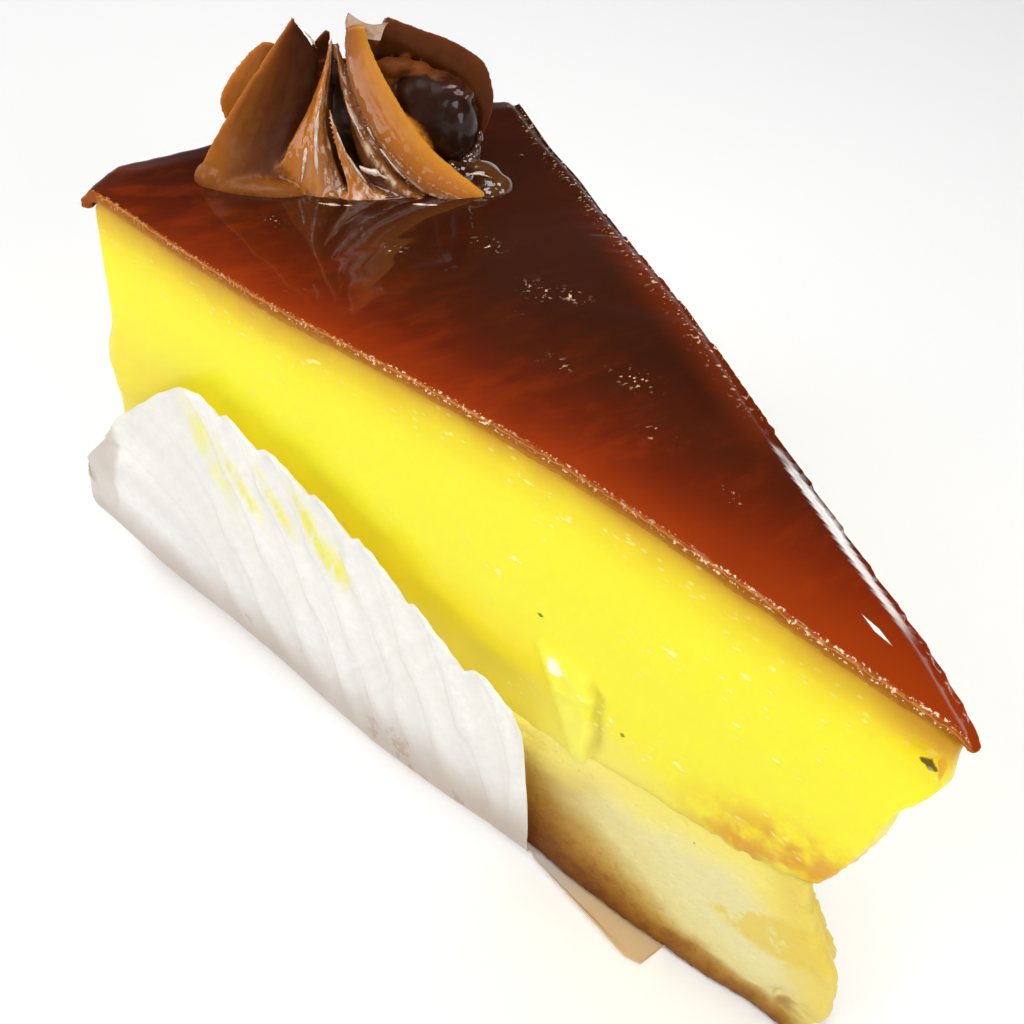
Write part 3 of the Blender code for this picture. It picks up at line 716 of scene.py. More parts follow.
def glazeMaterial():
    recipe = Recipe("darkCaramel")
    near = recipe.attribute("fromNear")
    far = recipe.attribute("fromFar")
    reach = recipe.attribute("reach")
    broad = recipe.noise(55, 4, 0.6)
    body = recipe.ramp(
        recipe.span(recipe.shaken(near, 8.0, broad), 0.0, 22.0, smooth=False),
        [
            (0.0, (146, 52, 10)),
            (0.14, (126, 40, 9)),
            (0.34, (96, 30, 8)),
            (0.62, (74, 27, 8)),
            (1.0, (58, 22, 7)),
        ],
    )
    # thinner and brighter towards the tip
    tipStops = [(0.0, (154, 54, 7)), (0.55, (130, 38, 6)), (1.0, (88, 25, 6))]
    tipTone = recipe.ramp(recipe.span(near, 0.0, 16.0), tipStops)
    toTip = recipe.span(recipe.timesPlus(broad, 14.0, reach), 14.0, 56.0, 0.8, 0.0)
    tone = recipe.blend(toTip, body, tipTone)
    # dark again by the rim
    tone = recipe.blend(recipe.span(reach, 92.0, 118.0, 0.0, 0.7), tone, (50, 16, 5))
    # a redder margin by the middle of the far edge
    middle = recipe.times(recipe.span(reach, 34.0, 44.0), recipe.span(reach, 70.0, 94.0, 1.0, 0.0))
    margin = recipe.times(recipe.span(far, 0.5, 6.5, 0.6, 0.0), middle)
    tone = recipe.blend(margin, tone, (122, 44, 12))
    # faint strokes across the near edge
    across = recipe.place((1.0, 0.35, 1.0), (0, 0, math.radians(24)))
    strokes = recipe.span(recipe.noise(330, 4, 0.65, across), 0.45, 0.72)
    strokes = recipe.times(strokes, recipe.span(near, 0.0, 24.0, 0.3, 0.05))
    tone = recipe.blend(strokes, tone, (158, 56, 12))
    # the cut edge: a golden line along its top, partly crust colour and partly painted highlight, then a thin
    # painted shadow line under the caramel, then stained custard
    side = recipe.attribute("underEdge")
    cut = recipe.ramp(
        recipe.span(recipe.shaken(side, 0.5, recipe.noise(900, 4, 0.6)), 0.1, 1.9, smooth=False),
        [
            (0.0, (150, 76, 22)),
            (0.06, (190, 124, 56)),
            (0.14, (152, 84, 20)),
            (0.4, (166, 100, 20)),
            (0.7, (188, 128, 24)),
            (1.0, (206, 152, 28)),
        ],
    )
    onEdge = recipe.span(recipe.shaken(near, 0.3, recipe.noise(700, 3)), 0.08, 0.24, 1.0, 0.0)
    tone = recipe.blend(onEdge, tone, cut)
    # painted highlights: sparkling specks along the crisp near edge, in loose clusters, and along the far
    # edge
    dots = recipe.span(recipe.noise(1900, 2, 0.5, recipe.place((1.0, 0.6, 1.0), (0, 0, 0.6))), 0.62, 0.65)
    atFar = recipe.times(recipe.span(far, 0.6, 3.4, 0.7, 0.0), recipe.span(reach, 40.0, 52.0))
    clusters = recipe.times(recipe.larger(recipe.attribute("sparkle"), atFar), dots)
    patchy = recipe.span(recipe.noise(90, 3), 0.36, 0.56)
    patchy = recipe.times(patchy, recipe.span(reach, 70.0, 96.0, 1.0, 0.35))
    edgeDots = recipe.times(recipe.span(recipe.noise(2600, 3, 0.5), 0.55, 0.62), patchy)
    atEdge = recipe.span(recipe.apart(recipe.plus(near, side), 0.2), 0.06, 0.26, 1.0, 0.0)
    specks = recipe.larger(clusters, recipe.times(atEdge, edgeDots))
    tone = recipe.blend(specks, tone, (250, 214, 176))
    # painted highlight: the line of light just inside the far edge by the tip
    tone = recipe.blend(recipe.attribute("streak"), tone, (255, 252, 246))
    # one small sharp highlight by the tip
    lensReach, lensNear = glaze["lens"]
    beyond = recipe.minus(reach, lensReach)
    sideways = recipe.apart(recipe.timesPlus(beyond, -0.35, near), lensNear)
    away = recipe.timesPlus(recipe.maths("ABSOLUTE", beyond), 0.46, recipe.times(sideways, 3.4))
    tone = recipe.blend(recipe.span(away, 0.7, 1.05, 1.0, 0.0), tone, (255, 252, 246))
    # no gloss by the far edge, past the swirl or on the cut
    dull = recipe.times(recipe.span(far, 1.6, 4.4, 0.97, 0.0), recipe.span(reach, 33.0, 41.0))
    dull = recipe.larger(dull, recipe.span(reach, 109.0, 114.0, 0.0, 0.85))
    # a gently uneven top, with rare beads
    gentle = recipe.relief(recipe.noise(45, 2), 0.5, 0.15)
    beads = recipe.span(recipe.cells(520), 0.10, 0.26, 1.0, 0.0)
    rare = recipe.span(recipe.noise(120, 2), 0.62, 0.68)
    edgeBeads = recipe.span(near, 0.2, 1.2, 0.4, 0.0)
    raised = recipe.times(beads, recipe.larger(recipe.times(rare, 0.4), edgeBeads))
    relief = recipe.relief(raised, 0.3, 0.5, gentle)
    return recipe.surface({
        "Base Color": tone,
        "Roughness": 0.3,
        "Specular IOR Level": 0.05,
        "Coat Weight": recipe.minus(1.0, recipe.larger(dull, onEdge)),
        "Coat Roughness": 0.04,
        "Coat IOR": 1.45,
        "Normal": relief,
        "Coat Normal": relief,
    })


finishPiece(makeGlaze(), glazeMaterial(), "caramel_glaze")


# piped swirl

swirl = {
    "voxel": 0.27,
    "rings": 60,
    "columns": 6,  # from each rail to the next
    "streak": 0.16,
    "grain": 0.05,
    "sunk": 0.3,  # how deep it stands in the glaze
    "neighbours": 5,  # how many rail points give a vertex its colour
}
swirlBase = cakeAxis + Vector((-108.0, 0.5, glazeTop - 0.05)) * mm
broadside = Vector((0.537, 0.8436, 0.0))
depthways = Vector((-0.8436, 0.537, 0.0))

# every fold is a ring of rails from its foot to its peak: how golden it is there (its own tone, with painted
# light and shade: gold where it faces the lamps, dark in grooves and on shaded sides) and how wet it is
# (gloss, and painted highlight streaks where wettest), then its points in mm as distance to the right, away
# from the viewer's side, and up
folds = {
    "leftFold": [
        (0.66, 0.2, [(-20.4, -7.8, 0.3), (-19.5, -7.2, 3.2), (-17.9, -6.3, 6.2), (-16.4, -5.5, 8.8),
                     (-14.8, -4.5, 11.3), (-13.3, -3.4, 13.4), (-11.9, -2.2, 15.4), (-10.2, -1.0, 17.8),
                     (-8.6, 0.0, 20.2)]),
        (0.48, 0.1, [(-17.2, -9.4, 0.2), (-16.6, -8.3, 2.2), (-15.6, -6.2, 5.2), (-14.4, -4.6, 8.4),
                     (-13.0, -3.4, 11.4), (-11.8, -2.5, 14.0), (-10.3, -1.4, 17.0), (-8.6, -0.2, 19.9)]),
        (0.25, 0.0, [(-13.2, -9.6, 0.2), (-12.4, -7.6, 2.0), (-11.2, -4.2, 4.6), (-10.0, -2.3, 8.0),
                     (-9.2, -1.2, 11.4), (-8.8, -0.6, 14.4), (-8.6, -0.3, 17.3), (-8.4, -0.1, 19.7)]),
        (0.16, 0.0, [(-8.2, -8.4, 0.2), (-7.8, -6.0, 2.2), (-7.0, -2.6, 5.0), (-6.0, -0.6, 8.4),
                     (-5.2, 0.5, 12.0), (-5.3, 1.0, 14.6), (-6.6, 0.8, 16.8), (-8.0, 0.3, 18.8)]),
        (0.20, 0.1, [(-8.0, 2.5, 0.4), (-7.4, 3.0, 8.0), (-6.8, 2.6, 13.0), (-7.2, 1.4, 16.6),
                     (-8.2, 0.5, 18.8)]),
        (0.40, 0.1, [(-17.0, -2.0, 0.3), (-15.2, -1.6, 8.0), (-12.4, -0.6, 13.0), (-9.8, 0.3, 17.2),
                     (-8.5, 0.3, 19.0)]),
    ],
    "backLeftFold": [
        (0.78, 0.1, [(-15.0, 1.0, 0.3), (-17.0, 1.6, 3.4), (-18.2, 2.2, 6.5), (-17.5, 2.6, 8.8),
                     (-16.0, 3.0, 11.2), (-14.2, 3.0, 13.6), (-12.6, 2.4, 15.2)]),
        (0.34, 0.0, [(-8.0, 1.0, 0.3), (-9.0, 1.0, 8.0), (-9.6, 1.2, 12.6), (-10.8, 1.8, 15.2)]),
        (0.34, 0.0, [(-7.0, 7.0, 0.3), (-8.0, 6.6, 8.0), (-9.0, 4.8, 12.6), (-11.2, 3.0, 15.0)]),
        (0.50, 0.1, [(-13.0, 6.0, 0.3), (-15.6, 5.6, 7.0), (-14.4, 4.6, 11.4), (-12.4, 3.0, 15.0)]),
    ],
    "frontFin": [
        (0.80, 1.0, [(-4.6, -8.5, 0.1), (-5.0, -7.4, 4.0), (-5.3, -6.0, 7.0), (-5.2, -4.3, 10.2),
                     (-4.6, -2.5, 13.9), (-3.9, -0.6, 17.9)]),
        (0.66, 0.4, [(-11.2, -7.2, 0.3), (-9.7, -5.8, 3.4), (-8.5, -4.7, 5.9), (-7.2, -3.6, 8.2),
                     (-6.0, -2.6, 10.8), (-4.9, -1.5, 13.9), (-4.0, -0.3, 17.8)]),
        (0.10, 0.0, [(-6.4, 0.0, 0.3), (-5.6, 0.6, 6.0), (-4.8, 0.8, 12.0), (-4.0, 0.1, 17.5)]),
        (0.04, 0.0, [(-1.6, -0.6, 0.3), (-3.0, 0.0, 6.0), (-3.6, 0.4, 12.0), (-3.7, 0.0, 17.5)]),
        (0.40, 1.0, [(-1.0, -7.0, 0.1), (-3.0, -5.6, 4.0), (-4.0, -4.2, 7.0), (-4.3, -2.9, 10.2),
                     (-4.0, -1.5, 13.9), (-3.8, -0.4, 17.8)]),
    ],
    "finToe": [
        (0.70, 1.0, [(3.6, -7.6, 0.1), (1.6, -7.3, 1.9), (-0.8, -6.3, 4.6), (-2.6, -5.1, 7.6),
                     (-3.8, -3.9, 10.4)]),
        (0.76, 1.0, [(-1.0, -8.7, 0.1), (-1.4, -7.6, 2.0), (-2.4, -6.4, 4.6), (-3.4, -5.2, 7.4),
                     (-4.0, -4.0, 10.2)]),
        (0.30, 0.4, [(1.6, -4.6, 0.1), (0.2, -4.4, 2.4), (-1.6, -4.2, 5.0), (-3.0, -3.8, 8.0),
                     (-3.8, -3.4, 10.0)]),
    ],
    "middleFold": [
        (0.50, 1.0, [(10.0, -7.0, 0.0), (5.4, -6.6, 1.6), (1.6, -4.9, 5.2), (-0.8, -3.2, 8.6),
                     (-2.4, -1.7, 12.0), (-3.2, -0.5, 15.4), (-3.3, 0.1, 17.2)]),
        (0.24, 0.6, [(2.6, -6.2, 0.0), (0.2, -4.6, 3.6), (-1.4, -2.6, 7.6), (-2.6, -1.0, 11.6),
                     (-3.4, 0.0, 15.2), (-3.5, 0.3, 17.0)]),
        (0.04, 0.1, [(2.0, -1.0, 0.0), (0.6, -0.6, 6.0), (-1.4, 0.6, 12.0), (-3.0, 0.8, 16.8)]),
        (0.36, 0.5, [(8.0, -4.0, 0.0), (4.4, -3.6, 3.6), (1.6, -2.4, 7.6), (-0.6, -1.0, 11.6),
                     (-2.4, 0.2, 15.0), (-3.0, 0.4, 17.0)]),
    ],
    "longFold": [
        (0.46, 1.0, [(13.0, -6.6, -0.1), (9.0, -6.4, 0.9), (5.2, -5.4, 3.4), (2.2, -4.0, 6.4),
                     (0.2, -2.8, 9.4), (-1.3, -1.7, 12.4), (-2.2, -0.7, 15.2), (-2.4, 0.4, 19.2)]),
        (0.60, 0.5, [(18.0, -5.6, -0.1), (13.4, -6.0, 0.6), (8.6, -5.6, 2.4), (5.2, -4.6, 4.8),
                     (2.5, -3.5, 7.3), (0.6, -2.5, 10.0), (-0.8, -1.5, 12.7), (-1.7, -0.5, 15.3),
                     (-2.0, 0.5, 19.5)]),
        (0.96, 0.0, [(18.5, -4.9, -0.1), (15.2, -4.3, 2.0), (12.1, -3.6, 3.9), (9.1, -2.7, 6.0),
                     (6.4, -1.7, 8.8), (4.3, -0.8, 11.5), (2.6, 0.0, 13.9), (1.1, 0.7, 16.5),
                     (0.2, 1.0, 19.2)]),
        (0.80, 0.0, [(18.0, -4.0, -0.1), (14.6, -3.5, 1.8), (11.5, -2.7, 3.6), (8.5, -1.8, 5.8),
                     (5.9, -0.8, 8.5), (3.8, 0.1, 11.2), (2.2, 0.8, 13.6), (0.8, 1.4, 16.3),
                     (0.0, 1.5, 19.0)]),
        (0.10, 0.1, [(13.0, -1.6, 0.0), (8.6, 0.0, 2.0), (5.0, 1.4, 6.0), (2.6, 2.4, 10.0),
                     (0.8, 2.6, 14.0), (-0.8, 1.8, 18.6)]),
        (0.10, 0.2, [(4.0, -1.0, 0.0), (2.0, 0.4, 6.0), (-0.4, 1.4, 12.0), (-1.8, 1.4, 18.4)]),
    ],
    "hood": [
        (0.34, 0.0, [(2.9, 4.4, 19.3), (7.2, 4.9, 17.9), (11.4, 4.9, 16.8), (15.7, 4.4, 14.7),
                     (17.5, 3.9, 11.2), (17.7, 3.7, 8.2), (16.9, 3.6, 5.0)]),
        (0.30, 0.0, [(2.4, 7.4, 17.6), (7.0, 8.2, 15.8), (11.4, 8.2, 14.6), (15.2, 7.2, 12.4),
                     (16.5, 6.2, 9.0), (16.8, 5.4, 7.0), (16.6, 4.4, 4.4)]),
        (0.24, 0.0, [(1.6, 7.6, 13.0), (4.6, 8.0, 12.0), (8.0, 8.0, 11.0), (11.0, 7.4, 9.6),
                     (13.0, 6.4, 8.0), (14.6, 5.4, 6.0), (15.8, 4.2, 3.6)]),
        (0.20, 0.0, [(1.6, 5.0, 13.6), (4.6, 5.3, 12.8), (7.8, 5.4, 11.4), (10.6, 5.3, 10.6),
                     (13.0, 4.6, 9.8), (14.9, 4.0, 8.0), (16.1, 3.4, 4.6)]),
        (0.26, 0.0, [(2.2, 4.0, 17.0), (6.0, 4.4, 15.6), (9.8, 4.4, 14.2), (12.8, 4.0, 12.8),
                     (15.2, 3.5, 10.2), (16.4, 3.2, 8.0), (16.5, 3.0, 5.0)]),
    ],
    "backFold": [
        (0.46, 0.2, [(-8.8, 9.6, 0.2), (-8.8, 9.2, 5.0), (-7.4, 7.2, 11.0), (-4.6, 4.6, 17.0)]),
        (0.28, 0.1, [(-12.0, 5.0, 0.2), (-10.6, 5.0, 6.0), (-8.4, 4.4, 12.0), (-5.0, 4.0, 16.6)]),
        (0.28, 0.1, [(-3.6, 5.0, 0.2), (-4.0, 5.4, 6.0), (-4.0, 4.8, 12.0), (-4.0, 4.2, 16.6)]),
    ],
    "backMiddleFold": [
        (0.46, 0.2, [(2.4, 10.4, 0.2), (2.8, 10.2, 5.0), (2.2, 8.4, 11.0), (0.2, 5.4, 17.4)]),
        (0.28, 0.1, [(-2.2, 5.6, 0.2), (-1.6, 5.8, 6.0), (-1.0, 5.2, 12.0), (-0.2, 4.8, 17.0)]),
        (0.28, 0.1, [(7.0, 5.6, 0.2), (6.2, 5.8, 6.0), (4.2, 5.4, 12.0), (0.8, 4.8, 17.0)]),
    ],
    "backRightFold": [
        (0.46, 0.2, [(12.8, 8.8, 0.2), (13.4, 8.8, 5.0), (12.0, 7.8, 10.0), (8.0, 6.4, 14.0)]),
        (0.28, 0.1, [(8.0, 5.6, 0.2), (8.0, 5.8, 6.0), (7.0, 5.8, 10.0), (6.8, 5.8, 13.6)]),
        (0.28, 0.1, [(15.6, 4.0, 0.2), (15.8, 4.4, 4.0), (14.4, 4.8, 9.0), (9.0, 5.4, 13.6)]),
    ],
}
# rounded lumps: how golden (own tone with painted light and shade), how wet (gloss, and painted highlight
# streaks where wettest), centre, half sizes
lobes = {
    "heart": (0.12, 0.2, (-0.8, 3.4, 2.4), (11.0, 5.2, 11.2)),
    "foot": (0.34, 0.6, (-3.2, -0.6, 0.0), (16.4, 7.9, 1.7)),
    "toe": (0.46, 0.15, (-13.4, -7.6, 0.2), (7.2, 2.3, 1.7)),
    "toeTip": (0.50, 0.2, (-18.2, -6.8, 0.8), (2.4, 2.4, 2.2)),
    "ball": (0.06, 0.10, (9.9, 2.2, 7.0), (5.6, 4.1, 6.2)),
    "ballSide": (0.06, 0.36, (12.4, 0.9, 6.6), (3.2, 3.4, 5.0)),
    "ballCheek": (0.10, 0.10, (7.8, 1.9, 10.0), (3.4, 2.7, 3.3)),
    "ballCrown": (0.36, 0.0, (3.6, 3.0, 13.3), (1.9, 1.5, 1.2)),
    "ballCrownSecond": (0.34, 0.0, (5.4, 3.2, 13.7), (1.6, 1.4, 0.9)),
    "ballCrownThird": (0.36, 0.0, (7.4, 3.0, 13.3), (1.7, 1.3, 1.1)),
    "ballCrownFourth": (0.30, 0.1, (9.4, 2.6, 12.8), (1.5, 1.3, 0.9)),
    "ballBud": (0.16, 0.6, (12.0, 1.7, 11.9), (1.8, 1.4, 1.1)),
    "ballBudSecond": (0.20, 0.6, (13.6, 1.3, 11.4), (1.1, 1.0, 0.8)),
}


def swirlSpot(point):
    return swirlBase + (broadside * point[0] + depthways * point[1] + Vector((0, 0, point[2]))) * mm


def railPoint(points, share):
    # a smooth curve through a rail's points
    place = share * (len(points) - 1)
    first = min(int(place), len(points) - 2)
    part = place - first
    before = Vector(points[max(first - 1, 0)])
    start = Vector(points[first])
    end = Vector(points[first + 1])
    after = Vector(points[min(first + 2, len(points) - 1)])
    turn = (end - before) / 2
    turnAfter = (after - start) / 2
    square = part * part
    cube = square * part
    return (
        start * (2 * cube - 3 * square + 1)
        + turn * (cube - 2 * square + part)
        + end * (3 * square - 2 * cube)
        + turnAfter * (cube - square)
    )


def makeFold(name, rails, samples):
    # a grid whose columns run round the fold and whose rows run up it, with both ends closed
    between = swirl["columns"]
    around = len(rails) * between
    rings = swirl["rings"]
    deselectAll()
    bpy.ops.mesh.primitive_grid_add(x_subdivisions=around, y_subdivisions=rings, size=1)
    piece = bpy.context.object
    piece.name = name
    for vert in piece.data.vertices:
        column = round((vert.co.x + 0.5) * around) % around
        share = min(1.0, max(0.0, vert.co.y + 0.5))
        first = column // between
        part = (column % between) / between
        goldAndShade, wet, points = rails[first]
        nextGoldAndShade, nextWet, nextPoints = rails[(first + 1) % len(rails)]
        spot = railPoint(points, share).lerp(railPoint(nextPoints, share), part)
        vert.co = swirlSpot(spot)
        strand = column + 7.3 * len(name)
        samples.append((vert.co.copy(), mix(goldAndShade, nextGoldAndShade, part), mix(wet, nextWet, part), strand, share))
    startEdit()
    bpy.ops.mesh.remove_doubles(threshold=joinDistance)
    bpy.ops.mesh.select_all(action="DESELECT")
    bpy.ops.mesh.select_non_manifold()
    bpy.ops.mesh.edge_face_add()
    bpy.ops.mesh.select_all(action="SELECT")
    bpy.ops.mesh.quads_convert_to_tris()
    bpy.ops.mesh.normals_make_consistent(inside=False)
    bpy.ops.object.mode_set(mode="OBJECT")
    return piece


def makeLobe(name, shape, samples, segments=40):
    goldAndShade, wet, centre, half = shape
    deselectAll()
    bpy.ops.mesh.primitive_uv_sphere_add(segments=segments, ring_count=segments // 2, radius=1)
    piece = bpy.context.object
    piece.name = name
    for vert in piece.data.vertices:
        local = [middle + size * value for middle, size, value in zip(centre, half, vert.co)]
        vert.co = swirlSpot(local)
        samples.append((vert.co.copy(), goldAndShade, wet, 0.0, 0.5))
    return piece


def joinParts(parts, name):
    deselectAll()
    for part in parts:
        part.select_set(True)
    bpy.context.view_layer.objects.active = parts[0]
    bpy.ops.object.join()
    piece = bpy.context.object
    piece.name = name
    return piece


def cutFlat(piece):
    # cut flat where it stands
    pick(piece)
    startEdit()
    foot = swirlBase - Vector((0, 0, swirl["sunk"] * mm))
    bpy.ops.mesh.bisect(plane_co=foot, plane_no=(0, 0, 1), use_fill=True, clear_inner=True)
    bpy.ops.object.mode_set(mode="OBJECT")


def makeSwirl():
    samples = []
    parts = [makeFold(name, rails, samples) for name, rails in folds.items()]
    parts += [makeLobe(name, shape, samples) for name, shape in lobes.items()]
    piece = joinParts(parts, "caramelSwirl")
    remesh(piece, swirl["voxel"], 3)
    cutFlat(piece)
    # colour, wetness and streaks come from the nearest rail
    tree = kdtree.KDTree(len(samples))
    for index, sample in enumerate(samples):
        tree.insert(sample[0], index)
    tree.balance()
    marks = {"goldAndShade": [], "wet": []}
    for vert, normal in withNormals(piece):
        nearest = tree.find_n(vert.co, swirl["neighbours"])
        found = [(samples[index], 1 / (gap + 0.15 * mm)) for _, index, gap in nearest]
        total = sum(weight for sample, weight in found)
        goldAndShade = sum(sample[1] * weight for sample, weight in found) / total
        wet = sum(sample[2] * weight for sample, weight in found) / total
        strand, share = found[0][0][3:]
        streak = noise.noise(Vector((strand * 0.9, share * 2.0, 0.5)))
        relief = swirl["streak"] * streak * (0.3 + wet) + swirl["grain"] * lump(vert.co / mm, 1.0, 3.0)
        if vert.co.z > swirlBase.z + swirl["sunk"] * mm:
            vert.co += normal * relief * mm
        marks["goldAndShade"].append(goldAndShade)
        marks["wet"].append(wet)
    paint(piece, marks)
    return piece


def swirlMaterial():
    recipe = Recipe("milkCaramel")
    along = recipe.place((1, 1, 0.25))
    # painted light and shade: the ramp runs from dark brown in grooves and on shaded sides to gold where the
    # folds face the lamps, over the caramel's own tones
    tone = recipe.ramp(
        recipe.shaken(recipe.attribute("goldAndShade"), 0.12, recipe.noise(700, 3, 0.6, along)),
        [
            (0.0, (30, 12, 6)),
            (0.15, (56, 24, 9)),
            (0.35, (104, 52, 15)),
            (0.52, (146, 84, 26)),
            (0.72, (184, 108, 34)),
            (1.0, (224, 152, 48)),
        ],
    )
    # painted highlights: pale glint streaks where the folds are wettest
    wet = recipe.attribute("wet")
    glintStreaks = recipe.span(recipe.noise(700, 3, 0.6, recipe.place((1, 1, 0.1))), 0.46, 0.66)
    glintStreaks = recipe.times(glintStreaks, recipe.span(wet, 0.78, 1.0))
    tone = recipe.blend(recipe.times(glintStreaks, 0.78), tone, (242, 214, 180))
    return recipe.surface({
        "Base Color": tone,
        "Roughness": 0.45,
        "Specular IOR Level": 0.12,
        "Subsurface Weight": 0.25,
        "Subsurface Radius": (1.0, 0.5, 0.15),
        "Subsurface Scale": 0.002,
        "Coat Weight": recipe.span(wet, 0.0, 0.8, 0.0, 1.0),
        "Coat Roughness": 0.09,
        "Normal": recipe.relief(recipe.noise(420, 3, 0.55, along), 0.2, 0.1),
    })


finishPiece(makeSwirl(), swirlMaterial(), "caramel_swirl")


# clear syrup that has run off the swirl

syrup = {
    "voxel": 0.22,
    "lumps": 0.12,
    # round drops: centre and half sizes, in the swirl's own directions
    "drops": [
        ((16.6, -1.4, 0.6), (3.4, 2.9, 2.7)), ((19.2, -2.2, 0.3), (1.9, 2.2, 1.8)),
        ((14.0, -2.2, 1.0), (2.2, 1.9, 2.6)), ((17.8, -4.0, 0.1), (1.6, 1.3, 1.2)),
        ((14.6, -1.0, 3.4), (1.2, 1.0, 1.1)), ((15.6, -0.4, 4.2), (0.8, 0.9, 1.3)),
        ((15.9, 0.2, 6.0), (0.6, 0.8, 1.2)), ((12.6, -2.6, 3.2), (1.0, 0.9, 0.8)),
    ],
}


def makeSyrup():
    ignored = []
    parts = [makeLobe("drop", (0.0, 1.0, centre, half), ignored) for centre, half in syrup["drops"]]
    piece = joinParts(parts, "syrupDrip")
    remesh(piece, syrup["voxel"], 3)
    cutFlat(piece)
    for vert, normal in withNormals(piece):
        vert.co += normal * syrup["lumps"] * lump(vert.co / mm, 1.6, 2.0) * mm
    return piece


def syrupMaterial():
    recipe = Recipe("clearSyrup")
    tone = recipe.blend(recipe.span(recipe.noise(260, 3), 0.35, 0.65), (66, 34, 14), (112, 66, 30))
    return recipe.surface({
        "Base Color": tone,
        "Roughness": 0.12,
        "Transmission Weight": 0.35,
        "IOR": 1.45,
        "Coat Weight": 1.0,
        "Coat Roughness": 0.02,
        "Normal": recipe.relief(recipe.noise(350, 3), 0.25, 0.4),
    })


finishPiece(makeSyrup(), syrupMaterial(), "caramel_swirl")


# a thin film of syrup drawn out between two peaks

film = {
    "thickness": 0.22,
    "columns": 16,
    "rows": 10,
    "sag": 0.9,
    # its two edges, in the swirl's own directions
    "left": [(-2.2, 0.6, 18.8), (-2.3, 0.4, 19.8), (-2.0, 0.6, 20.9)],
    "right": [(2.2, 2.6, 16.8), (2.6, 3.6, 18.0), (3.2, 4.2, 18.7)],
}


def makeFilm():
    deselectAll()
    bpy.ops.mesh.primitive_grid_add(x_subdivisions=film["columns"], y_subdivisions=film["rows"], size=1)
    piece = bpy.context.object
    piece.name = "syrupFilm"
    for vert in piece.data.vertices:
        across, up = vert.co.x + 0.5, vert.co.y + 0.5
        spot = railPoint(film["left"], up).lerp(railPoint(film["right"], up), across)
        spot.z -= film["sag"] * math.sin(math.pi * across) * (0.4 + 0.6 * up)
        vert.co = swirlSpot(spot)
    wall = piece.modifiers.new("thickness", "SOLIDIFY")
    wall.thickness = film["thickness"] * mm
    wall.offset = 0.0
    smooth = piece.modifiers.new("smooth", "SUBSURF")
    smooth.levels = smooth.render_levels = 1
    applyAll(piece)
    return piece


def filmMaterial():
    recipe = Recipe("syrupSkin")
    tone = recipe.blend(recipe.span(recipe.noise(400, 3), 0.4, 0.6), (214, 170, 130), (236, 206, 180))
    return recipe.surface({
        "Base Color": tone,
        "Roughness": 0.15,
        "Transmission Weight": 0.6,
        "Coat Weight": 1.0,
        "Normal": recipe.relief(recipe.noise(300, 3), 0.3, 0.5),
    })


finishPiece(makeFilm(), filmMaterial(), "caramel_swirl")


# glossy threads of syrup along the folds and round the foot, painted near-white as highlights

threads = {
    "voxel": 0.16,
    "steps": 34,
    "facets": 12,
    # points in the swirl's own directions, and radius
    "lines": [
        ([(-7.4, -9.3, 0.1), (-4.4, -9.9, 0.2), (-1.6, -9.9, 0.2), (0.8, -9.3, 0.1)], 0.42),
        ([(4.6, -8.0, 0.1), (8.0, -8.2, 0.2), (11.4, -7.9, 0.2), (14.6, -7.2, 0.1)], 0.44),
        ([(-4.9, -7.9, 2.4), (-5.3, -6.6, 5.6), (-5.3, -5.0, 8.8), (-4.8, -3.4, 12.0)], 0.48),
        ([(-7.0, -7.8, 1.8), (-6.7, -6.4, 4.4), (-6.3, -5.2, 6.8)], 0.42),
        ([(3.0, -7.6, 0.6), (0.6, -7.0, 3.0), (-1.8, -5.8, 6.0), (-3.4, -4.4, 9.2)], 0.34),
        ([(5.6, -6.7, 1.6), (2.2, -5.3, 4.7), (-0.2, -3.7, 7.9), (-1.9, -2.3, 11.0), (-3.0, -1.0, 14.4)],
         0.34),
        ([(8.4, -6.4, 1.2), (5.2, -5.6, 3.5), (2.2, -4.2, 6.5), (0.2, -3.0, 9.5)], 0.30),
        ([(0.2, -6.0, 3.9), (1.2, -6.3, 3.5), (2.4, -6.3, 3.3), (4.2, -6.4, 2.5)], 0.62),
        ([(-7.4, -0.6, 18.6), (-6.4, 0.0, 17.4), (-5.6, 0.3, 15.8)], 0.26),
        ([(14.9, -0.8, 3.6), (15.7, -0.4, 5.0), (16.0, 0.2, 6.8)], 0.34),
        ([(14.0, -3.4, 2.4), (16.0, -3.6, 2.9), (18.2, -3.2, 2.2)], 0.30),
    ],
}


def makeThreads():
    ignored = []
    parts = []
    for number, (points, radius) in enumerate(threads["lines"]):
        for turn in range(threads["steps"] + 1):
            share = turn / threads["steps"]
            spot = railPoint(points, share)
            # thin at both ends, and beaded
            beading = 0.65 + 0.5 * lump((share * 7, number, 0), 1.0)
            size = radius * math.sin(math.pi * (0.08 + 0.84 * share)) * max(0.35, beading)
            parts.append(makeLobe("bead", (0.0, 1.0, spot, (size, size, size)), ignored, threads["facets"]))
    piece = joinParts(parts, "syrupThreads")
    remesh(piece, threads["voxel"], 2)
    return piece


def threadMaterial():
    recipe = Recipe("syrupGloss")
    # painted highlight: the threads' near-white colour stands for lines of light along the folds and round
    # the foot
    tone = recipe.blend(recipe.span(recipe.noise(500, 3), 0.4, 0.6), (232, 196, 160), (250, 236, 216))
    return recipe.surface({
        "Base Color": tone,
        "Roughness": 0.2,
        "Transmission Weight": 0.25,
        "Coat Weight": 1.0,
    })


finishPiece(makeThreads(), threadMaterial(), "caramel_swirl")


# paper liner

